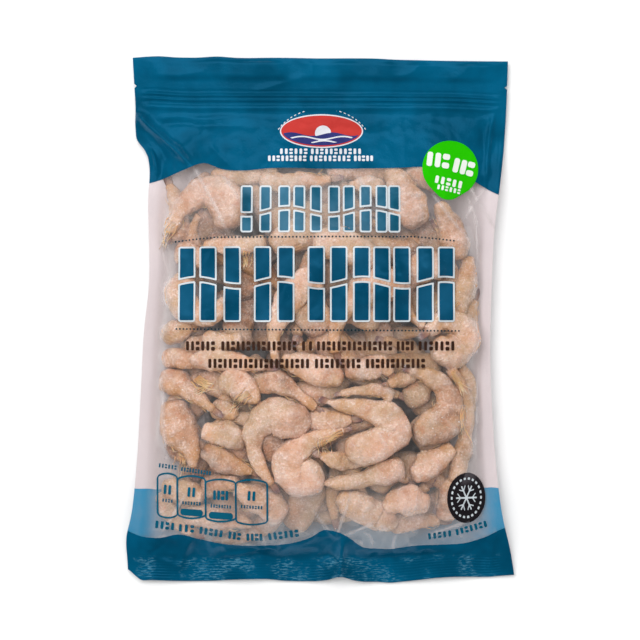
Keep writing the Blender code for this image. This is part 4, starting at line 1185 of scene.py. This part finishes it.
def make_films(front, haze, ridge_highlight):
    """The front film in its printed and clear parts, and the back film."""
    points = front_points(front)
    blue = ink_material("blue_band", BLUE, 0.17, 0.25, 0.5, wrinkles=1.6, crimped=True)
    for name, first, last, material, slot in (
        ("film_bottom_band", 0, 2, blue, "film"), ("film_window", 2, 3, clear_film_material(), "clear_film"),
        ("film_top_band", 3, 6, blue, "film"),
    ):
        part = np.s_[ROWS[first]:ROWS[last] + 1]
        rows = points[part]
        fields = ("haze", haze), ("ridge_highlight", ridge_highlight)
        values = {key: on_field(field, rows[..., 0], rows[..., 1]).ravel() for key, field in fields}
        values["crimp"] = smooth((2 + BOTTOM_SEAL - POUCH_LENGTH / 2 - Y_FLAT[part]) / 3).ravel()
        piece(name, rows.reshape(-1, 3), grid_faces(*rows.shape[:2]), material, values=values)
    keep = np.ix_(*(np.r_[0:count - 1:BACK_GRID_STRIDE, count - 1] for count in U.shape))
    x, y = FILM_X[keep], FILM_Y[keep]
    under = np.stack([x, y, np.maximum(on_field(BACK_FILM, x, y), 0)], axis=-1)
    faces = [face[::-1] for face in grid_faces(*x.shape)]
    piece("film_back", under.reshape(-1, 3), faces, back_film_material())


# Prints, as signed distances in millimetres: less than 0 inside
AXIS = (-0.3, -0.2)
MM_EACH = 0.641
PRINT_NEARER = 0.979
LOW_PRINT_NEARER = 0.989
BAND_NEARER = 0.993


def bar(x, y, middle, half, corner, angle=0.0):
    """A rounded rectangle, turned by angle."""
    c, s = math.cos(angle), math.sin(angle)
    dx, dy = x - middle[0], y - middle[1]
    across, along = np.abs(c * dx + s * dy) - half[0] + corner, np.abs(c * dy - s * dx) - half[1] + corner
    outside = np.hypot(np.maximum(across, 0), np.maximum(along, 0))
    return outside + np.minimum(np.maximum(across, along), 0) - corner


def nearer_by(x, y, share):
    """Places drawn in toward the camera's axis, as a print that lies higher than the flat seals must be."""
    return AXIS[0] + (x - AXIS[0]) * share, AXIS[1] + (y - AXIS[1]) * share


def patch(pile, shape, box, surface_height, lift, step=0.6, share=PRINT_NEARER):
    """Adds the part of a box where shape is less than 0, cut along that line and laid on a surface."""
    (x0, y0), (x1, y1) = box
    columns, rows = int((x1 - x0) / step) + 2, int((y1 - y0) / step) + 2
    gx, gy = np.meshgrid(x0 + np.arange(columns) * step, y0 + np.arange(rows) * step)
    value = shape(gx, gy)
    value = np.where(np.abs(value) < 1e-4, 1e-4, value)
    inside = value < 0
    plan_points, faces, known = [], [], {}

    def point(key, x, y):
        if key not in known:
            known[key] = len(plan_points)
            plan_points.append((x, y))
        return known[key]

    touched = inside[:-1, :-1] | inside[1:, :-1] | inside[:-1, 1:] | inside[1:, 1:]
    for row, column in zip(*np.nonzero(touched)):
        corners = ((row, column), (row, column + 1), (row + 1, column + 1), (row + 1, column))
        face = []
        for here, there in zip(corners, corners[1:] + corners[:1]):
            if inside[here]:
                face.append(point(here, gx[here], gy[here]))
            if inside[here] != inside[there]:
                t = value[here] / (value[here] - value[there])
                x, y = gx[here] + (gx[there] - gx[here]) * t, gy[here] + (gy[there] - gy[here]) * t
                face.append(point(tuple(sorted((here, there))), x, y))
        faces.append(tuple(face))
    if not plan_points:
        return
    x, y = nearer_by(*np.array(plan_points).T, share)
    pile.add(np.column_stack([x, y, surface_height(x, y) + lift]), faces)


def px(x, y):
    """Millimetres on the flat pouch of a place given in steps of a picture 640 wide and 640 high."""
    return AXIS[0] + (x - 320) * MM_EACH, AXIS[1] + (320 - y) * MM_EACH


def word(pile, start, end, height, stroke, film, share=PRINT_NEARER):
    """A row of small upright strokes between two places, every third one split into two dashes."""
    (x0, y0), (x1, y1) = px(*start), px(*end)
    angle, length = math.atan2(y1 - y0, x1 - x0), math.hypot(x1 - x0, y1 - y0)
    count = max(1, round((length + 0.75 * stroke) / (1.75 * stroke)))
    for k in range(count):
        t = (stroke / 2 + (length - stroke) * k / max(1, count - 1)) / length
        split = k % 3 == 2
        wide = stroke * (0.66 if split else 0.5)
        for rise, half in ((-0.3, 0.2), (0.3, 0.2)) if split else ((0, 0.5),):
            x, y = x0 + (x1 - x0) * t, y0 + (y1 - y0) * t
            place = x - rise * height * math.sin(angle), y + rise * height * math.cos(angle)
            box = (place[0] - wide - 1, place[1] - height), (place[0] + wide + 1, place[1] + height)
            shape = lambda x, y: bar(x, y, place, (wide, half * height), 0.35 * stroke, angle)
            patch(pile, shape, box, film, 0.18, 0.25 * stroke, share)


SMALL_PLACES = ((240, 290), (293, 322), (328, 339), (343, 372), (376, 401))
LARGE_PLACES = ((177, 216), (223, 271), (277, 325), (330, 346), (353, 411), (417, 456))
WORD_ROWS = (
    (346, ((185, 214), (221, 296), (302, 312), (317, 392), (397, 414), (419, 455))),
    (363.5, ((208, 309), (315, 360), (366, 425))),
)


def bars_shape(places, top, bottom, stroke, waves):
    """A row of upright bars, as many as fit in each place, with clear wave lines cut through them."""
    (_, high), (_, low) = px(0, top), px(0, bottom)
    middles = []
    for a, b in places:
        (x0, _), (x1, _) = px(a, 0), px(b, 0)
        count = max(1, round((x1 - x0 + 0.4 * stroke) / (1.4 * stroke)))
        middles += [x0 + stroke / 2 + (x1 - x0 - stroke) * k / max(1, count - 1) for k in range(count)]

    def shape(x, y, grow=0.0):
        half = stroke / 2 - 1.1 + grow, (high - low) / 2 - 1.1 + grow
        bars = [bar(x, y, (middle, (high + low) / 2), half, 0.5 + grow) for middle in middles]
        total = np.minimum.reduce(bars)
        for share, width in waves:
            line = low + (high - low) * share + 2.2 * np.sin(x / 8.5 + share * 9)
            total = np.maximum(total, width - grow - np.abs(y - line))
        return total

    return shape, ((middles[0] - stroke, low - 3), (middles[-1] + stroke, high + 3))


def make_prints(front):
    """Everything printed on the window and the top band."""

    def film(x, y):
        return on_field(front, x, y)

    white, blue, pale_blue, brown, teal, black, dots = (Pile() for _ in range(7))
    for pile, places, top, bottom, stroke, waves in (
        (pale_blue, SMALL_PLACES, 184, 232, 7.8, ((0.45, 2.0),)),
        (blue, LARGE_PLACES, 246, 322, 11.2, ((0.52, 2.3),)),
    ):
        shape, box = bars_shape(places, top, bottom, stroke, waves)
        patch(white, lambda x, y: shape(x, y, 1.1), box, film, 0.14)
        patch(pile, shape, box, film, 0.24)
    for middle, words in WORD_ROWS:
        for start, end in words:
            word(brown, (start, middle), (end, middle), 6.0, 1.9, film)
    for ends, sag in ((((174, 241), (455, 240)), 2.6), (((175, 329), (460, 331)), 0.0)):
        (xa, ya), (xb, yb) = px(*ends[0]), px(*ends[1])
        count = int((xb - xa) / 2.3)
        for k in range(count + 1):
            t = k / count
            x0, y0 = xa + (xb - xa) * t, ya + (yb - ya) * t + sag * min(1, 8 * t * (1 - t))
            turns = np.arange(8) / 8 * 2 * math.pi
            x, y = nearer_by(x0 + 0.6 * np.cos(turns), y0 + 0.6 * np.sin(turns), PRINT_NEARER)
            dots.add(np.column_stack([x, y, film(x, y) + 0.16]), [tuple(range(8))])
    facts_print(teal, film)
    badge_print(black, white, film)
    emblem(film)
    for pile, name, ink in (
        (white, "print_white", ("white_ink", (0.54, 0.59, 0.62))),
        # The smaller bars' ink is whitened in patches: painted reflection haze over that row.
        (pale_blue, "print_pale_blue", ("pale_blue_ink", (0.004, 0.085, 0.150), 0.2, 0.3, 0.4, 0.05)),
        (blue, "print_blue", ("blue_ink", (0.0005, 0.060, 0.122), 0.2, 0.25, 0.4, 0.006)),
        (dots, "print_dots", ("dark_ink", (0.008, 0.032, 0.045))),
        (brown, "print_brown", ("brown_ink", (0.03, 0.014, 0.009), 0.5)),
        (teal, "print_teal", ("teal_ink", (0.004, 0.088, 0.15))),
        (black, "print_black", ("black_ink", (0.012, 0.01, 0.012))),
    ):
        pile.made(name, ink_material(*ink), "print")


# The boxes' left, right, top and bottom and how wide their marks are, then the other rows of marks
FACT_BOXES = (
    (156.5, 177, 477, 516, 2), (177, 205.5, 479, 516, 2), (205.5, 236, 482, 519, 4),
    (236, 267.5, 482, 522, 2),
)
FACT_WORDS = (
    ((158, 466), (176, 468), 2.8, 1.1), ((181, 469), (211, 473), 2.8, 1.1),
    ((154, 526), (173, 528), 5.0, 1.9), ((178, 529), (193, 530), 5.0, 1.9),
    ((199, 531), (222, 535), 5.0, 1.9), ((228, 536), (240, 538), 5.0, 1.9),
    ((246, 538.5), (262, 538.5), 5.0, 1.9), ((268, 538), (298, 534), 5.0, 1.9),
    ((429, 538), (452, 535), 4.2, 1.7), ((457, 534), (488, 525.5), 4.2, 1.7),
)


def facts_print(pile, film):
    """Four outlined boxes side by side with bowed edges, marks in each, and rows of marks round them."""
    for number, (a, b, top, bottom, strokes) in enumerate(FACT_BOXES):
        (x0, y1), (x1, y0) = px(a, top), px(b, bottom)
        middle, half = ((x0 + x1) / 2, (y0 + y1) / 2), ((x1 - x0) / 2, (y1 - y0) / 2)

        def frame_line(x, y):
            bow = 1.9 * (1 - ((x - middle[0]) / half[0]) ** 2)
            away = y - middle[1]
            drawn = middle[1] + np.sign(away) * np.maximum(np.abs(away) - np.maximum(bow, -1), 0)
            return np.abs(bar(x, drawn, middle, half, 1.5)) - 0.62

        box = (x0 - 2, y0 - 4), (x1 + 2, y1 + 4)
        patch(pile, frame_line, box, film, 0.16, 0.4, LOW_PRINT_NEARER)
        middle_px, reach = (a + b) / 2, 1.9 * strokes
        ends = (middle_px - reach, top + 13), (middle_px + reach, top + 13.5)
        word(pile, *ends, 6.2, 1.8, film, LOW_PRINT_NEARER)
        word(pile, (a + 5, top + 24), (b - 5, top + 25), 2.2, 1.0, film, LOW_PRINT_NEARER)
        if number in (1, 2):
            place = middle[0], y0 + 1.9
            pill = lambda x, y: bar(x, y, place, (half[0] * 0.8, 2.2), 2.0, -0.06)
            patch(pile, pill, box, film, 0.16, 0.4, LOW_PRINT_NEARER)
    for start, end, height, stroke in FACT_WORDS:
        word(pile, start, end, height, stroke, film, LOW_PRINT_NEARER)


BADGE_NARROWING = 1.31


def badge_print(black, white, film):
    """A dark round badge with a dashed light ring and a six-armed ice star."""
    (cx, cy), radius = px(467, 498.5), 15.5

    def disc(x, y):
        return np.hypot((x - cx) * BADGE_NARROWING, y - cy) - radius - 1.0

    def marks(x, y):
        dx, dy = (x - cx) * BADGE_NARROWING, y - cy
        away, angle = np.hypot(dx, dy), np.arctan2(dy, dx)
        dashes = np.maximum(np.abs(away - radius * 0.82) - 0.75, np.abs(np.sin(angle * 11)) * 3 - 2.2)
        arm = np.abs(((angle + math.pi / 6) % (math.pi / 3)) - math.pi / 6)
        spoke = np.maximum(away * np.sin(arm) - 0.55, away - radius * 0.58)
        fork = np.abs(away * np.cos(arm) - away * np.sin(arm) * 0.9 - radius * 0.33) - 0.5
        fork = np.maximum(fork, away * np.sin(arm) - radius * 0.19)
        return np.minimum(dashes, np.minimum(spoke, fork))

    box = (cx - radius, cy - radius - 3), (cx + radius, cy + radius + 3)
    patch(black, disc, box, film, 0.16, 0.5, LOW_PRINT_NEARER)
    patch(white, marks, box, film, 0.3, 0.3, LOW_PRINT_NEARER)


def emblem(film):
    """A plain badge on the top band: a white-edged oval with a red field, a navy sea and a pale sun."""
    (cx, cy) = px(321.5, 130)
    wide, high = 26.0, 10.4

    def oval(x, y, grow=0.0):
        dx, dy = (x - cx) / (wide + grow), (y - cy) / (high + grow)
        return (np.hypot(dx, dy) - 1) * high

    def sea(x, y):
        return np.maximum(oval(x, y, -0.9), y - cy + 2.0 - 1.2 * np.sin((x - cx) / 4.2))

    def foam(x, y):
        lines = [np.abs(y - cy + drop - 1.0 * np.sin((x - cx) / 4.2 + drop)) - 0.45 for drop in (4.6, 7.4)]
        return np.maximum(oval(x, y, -2.2), np.minimum.reduce(lines))

    def sun(x, y):
        shore = y - cy + 2.4 - 1.2 * np.sin((x - cx) / 4.2)
        return np.maximum(np.hypot(x - cx - 1, y - cy + 1.5) - 5.2, -shore)

    box = (cx - wide - 3, cy - high - 3), (cx + wide + 3, cy + high + 3)
    white, red, navy = Pile(), Pile(), Pile()
    for pile, shape, lift in (
        (white, lambda x, y: oval(x, y, 0.8), 0.14), (red, oval, 0.2), (navy, sea, 0.26), (white, sun, 0.32),
        (white, foam, 0.34),
    ):
        patch(pile, shape, box, film, lift, 0.5, BAND_NEARER)
    for y_px, words in ((151, ((280, 307), (311, 361))), (158.2, ((268, 306), (310, 350), (354, 373)))):
        for start, end in words:
            word(white, (start, y_px), (end, y_px), 3.7, 1.7, film, BAND_NEARER)
    for k in range(23):
        angle = math.radians(150 - 120 * k / 22)
        place, lean = px(322 + 50 * math.cos(angle), 148 - 41 * math.sin(angle)), angle - math.pi / 2
        box = (place[0] - 2, place[1] - 2), (place[0] + 2, place[1] + 2)
        dash = lambda x, y: bar(x, y, place, (0.8, 0.28), 0.25, lean)
        patch(white, dash, box, film, 0.16, 0.3, BAND_NEARER)
    word(white, (312, 76.4), (336, 76.8), 2.3, 1.0, film, 1.0)
    white.made("emblem_white", ink_material("emblem_white_ink", (0.62, 0.63, 0.67)), "print")
    red.made("emblem_red", ink_material("emblem_red_ink", (0.46, 0.038, 0.032)), "print")
    navy.made("emblem_navy", ink_material("emblem_navy_ink", (0.026, 0.03, 0.13)), "print")


STICKER_CENTRE = (82.9, 96.5)
STICKER_RADIUS, STICKER_TIP_RADIUS, STICKER_TIP_DISTANCE, STICKER_TIP_HEADING = 18.1, 9.5, 11.0, 262.0
STICKER_WORDS = (
    ((428, 157), (450, 160), 9.6, 3.6), ((455, 163), (475, 168), 9.6, 3.6),
    ((436, 178), (463, 184), 5.0, 2.2), ((438, 186), (461, 191), 3.2, 1.5),
)
LABEL_THICKNESS = 0.15


def make_sticker(front):
    """The green sticker: a disc drawn out to a blunt tip, with light bars."""
    smooth_film = blurred(front, 6)
    cx, cy = STICKER_CENTRE
    heading = math.radians(STICKER_TIP_HEADING)

    def lie(x, y):
        return np.maximum(on_field(smooth_film, x, y), on_field(front, x, y)) + 0.1

    def drop(x, y):
        dx, dy = x - cx, y - cy
        along = dx * math.cos(heading) + dy * math.sin(heading)
        aside = np.abs(dy * math.cos(heading) - dx * math.sin(heading))
        slope = (STICKER_RADIUS - STICKER_TIP_RADIUS) / STICKER_TIP_DISTANCE
        lean = math.sqrt(1 - slope**2)
        k = along * lean - aside * slope
        disc = np.hypot(along, aside) - STICKER_RADIUS
        tip = np.hypot(along - STICKER_TIP_DISTANCE, aside) - STICKER_TIP_RADIUS
        side = along * slope + aside * lean - STICKER_RADIUS
        return np.where(k < 0, disc, np.where(k > STICKER_TIP_DISTANCE * lean, tip, side))

    box = (cx - 21, cy - 26), (cx + 21, cy + 21)
    green, white = Pile(), Pile()
    patch(green, drop, box, lie, 0.15, 0.7, 1.0)
    for start, end, height, stroke in STICKER_WORDS:
        word(white, start, end, height, stroke, lambda x, y: lie(x, y) + 0.25, BAND_NEARER - 0.007)
    ink = ink_material("green_label", (0.016, 0.44, 0.0006), 0.55, 0.04, 0.1)
    label = green.made("count_label", ink, "sticker", "count_sticker")
    label.modifiers.new("thickness", "SOLIDIFY").thickness = LABEL_THICKNESS * MM
    ink = ink_material("label_white", (0.70, 0.74, 0.68), 0.4, 0.03)
    white.made("count_label_bars", ink, "sticker", "count_sticker")


def make_floor():
    floor_material, _, _ = surface("studio_floor", Base_Color=(0.92, 0.92, 0.92, 1), Roughness=0.9)
    mesh = bpy.data.meshes.new("floor")
    mesh.from_pydata([(-3, -3, 0), (3, -3, 0), (3, 3, 0), (-3, 3, 0)], [], [(0, 1, 2, 3)])
    mesh.materials.append(floor_material)
    floor = bpy.data.objects.new("floor", mesh)
    bpy.context.scene.collection.objects.link(floor)


def make_light(name, place, size, power):
    """A soft round lamp that faces the middle of the pouch."""
    data = bpy.data.lights.new(name, "AREA")
    data.shape, data.size, data.energy = "DISK", size, power
    light = bpy.data.objects.new(name, data)
    light.location = place
    light.rotation_euler = (-Vector(place)).to_track_quat("-Z", "Y").to_euler()
    bpy.context.scene.collection.objects.link(light)
    return light


# Brightness of the room, and of the room in mirrors
ROOM_LIGHT, MIRRORED_ROOM_LIGHT = 0.64, 0.04


def make_studio():
    """A pale floor, an even bright room, a large soft key lamp and two lamps that the film mirrors."""
    make_floor()
    world = bpy.data.worlds.new("studio")
    world.use_nodes = True
    tree, background = world.node_tree, world.node_tree.nodes["Background"]
    background.inputs["Color"].default_value = (1, 1, 1, 1)
    mirrored = add(tree, "LightPath").outputs["Is Glossy Ray"]
    strength = calc(tree, "MULTIPLY_ADD", mirrored, MIRRORED_ROOM_LIGHT - ROOM_LIGHT, ROOM_LIGHT)
    tree.links.new(strength, background.inputs["Strength"])
    bpy.context.scene.world = world
    make_light("key", (-0.3, 0.45, 1.45), 1.2, 14).visible_glossy = False
    make_light("sheen", (-0.1, 1.0, 1.35), 1.3, 5)
    make_light("side_sheen", (-1.2, 0.2, 1.2), 0.9, 2)
    bpy.context.scene.view_settings.view_transform = "Standard"


CAMERA_DISTANCE = 1.7
SEEN_WIDTH = 410.2
SENSOR_WIDTH = 36
FLAT_FILM_HEIGHT = 0.008


def make_camera():
    data = bpy.data.cameras.new("camera")
    data.sensor_width = SENSOR_WIDTH
    data.lens = SENSOR_WIDTH * CAMERA_DISTANCE / (SEEN_WIDTH * MM)
    camera = bpy.data.objects.new("camera", data)
    camera.location = (AXIS[0] * MM, AXIS[1] * MM, CAMERA_DISTANCE + FLAT_FILM_HEIGHT)
    bpy.context.scene.collection.objects.link(camera)
    bpy.context.scene.camera = camera


def main():
    make_studio()
    make_camera()
    tree = tree_of(*make_prawns())
    make_ice(tree)
    front, haze, ridge_highlight = film_fields(tree)
    make_films(front, haze, ridge_highlight)
    make_prints(front)
    make_sticker(front)


main()
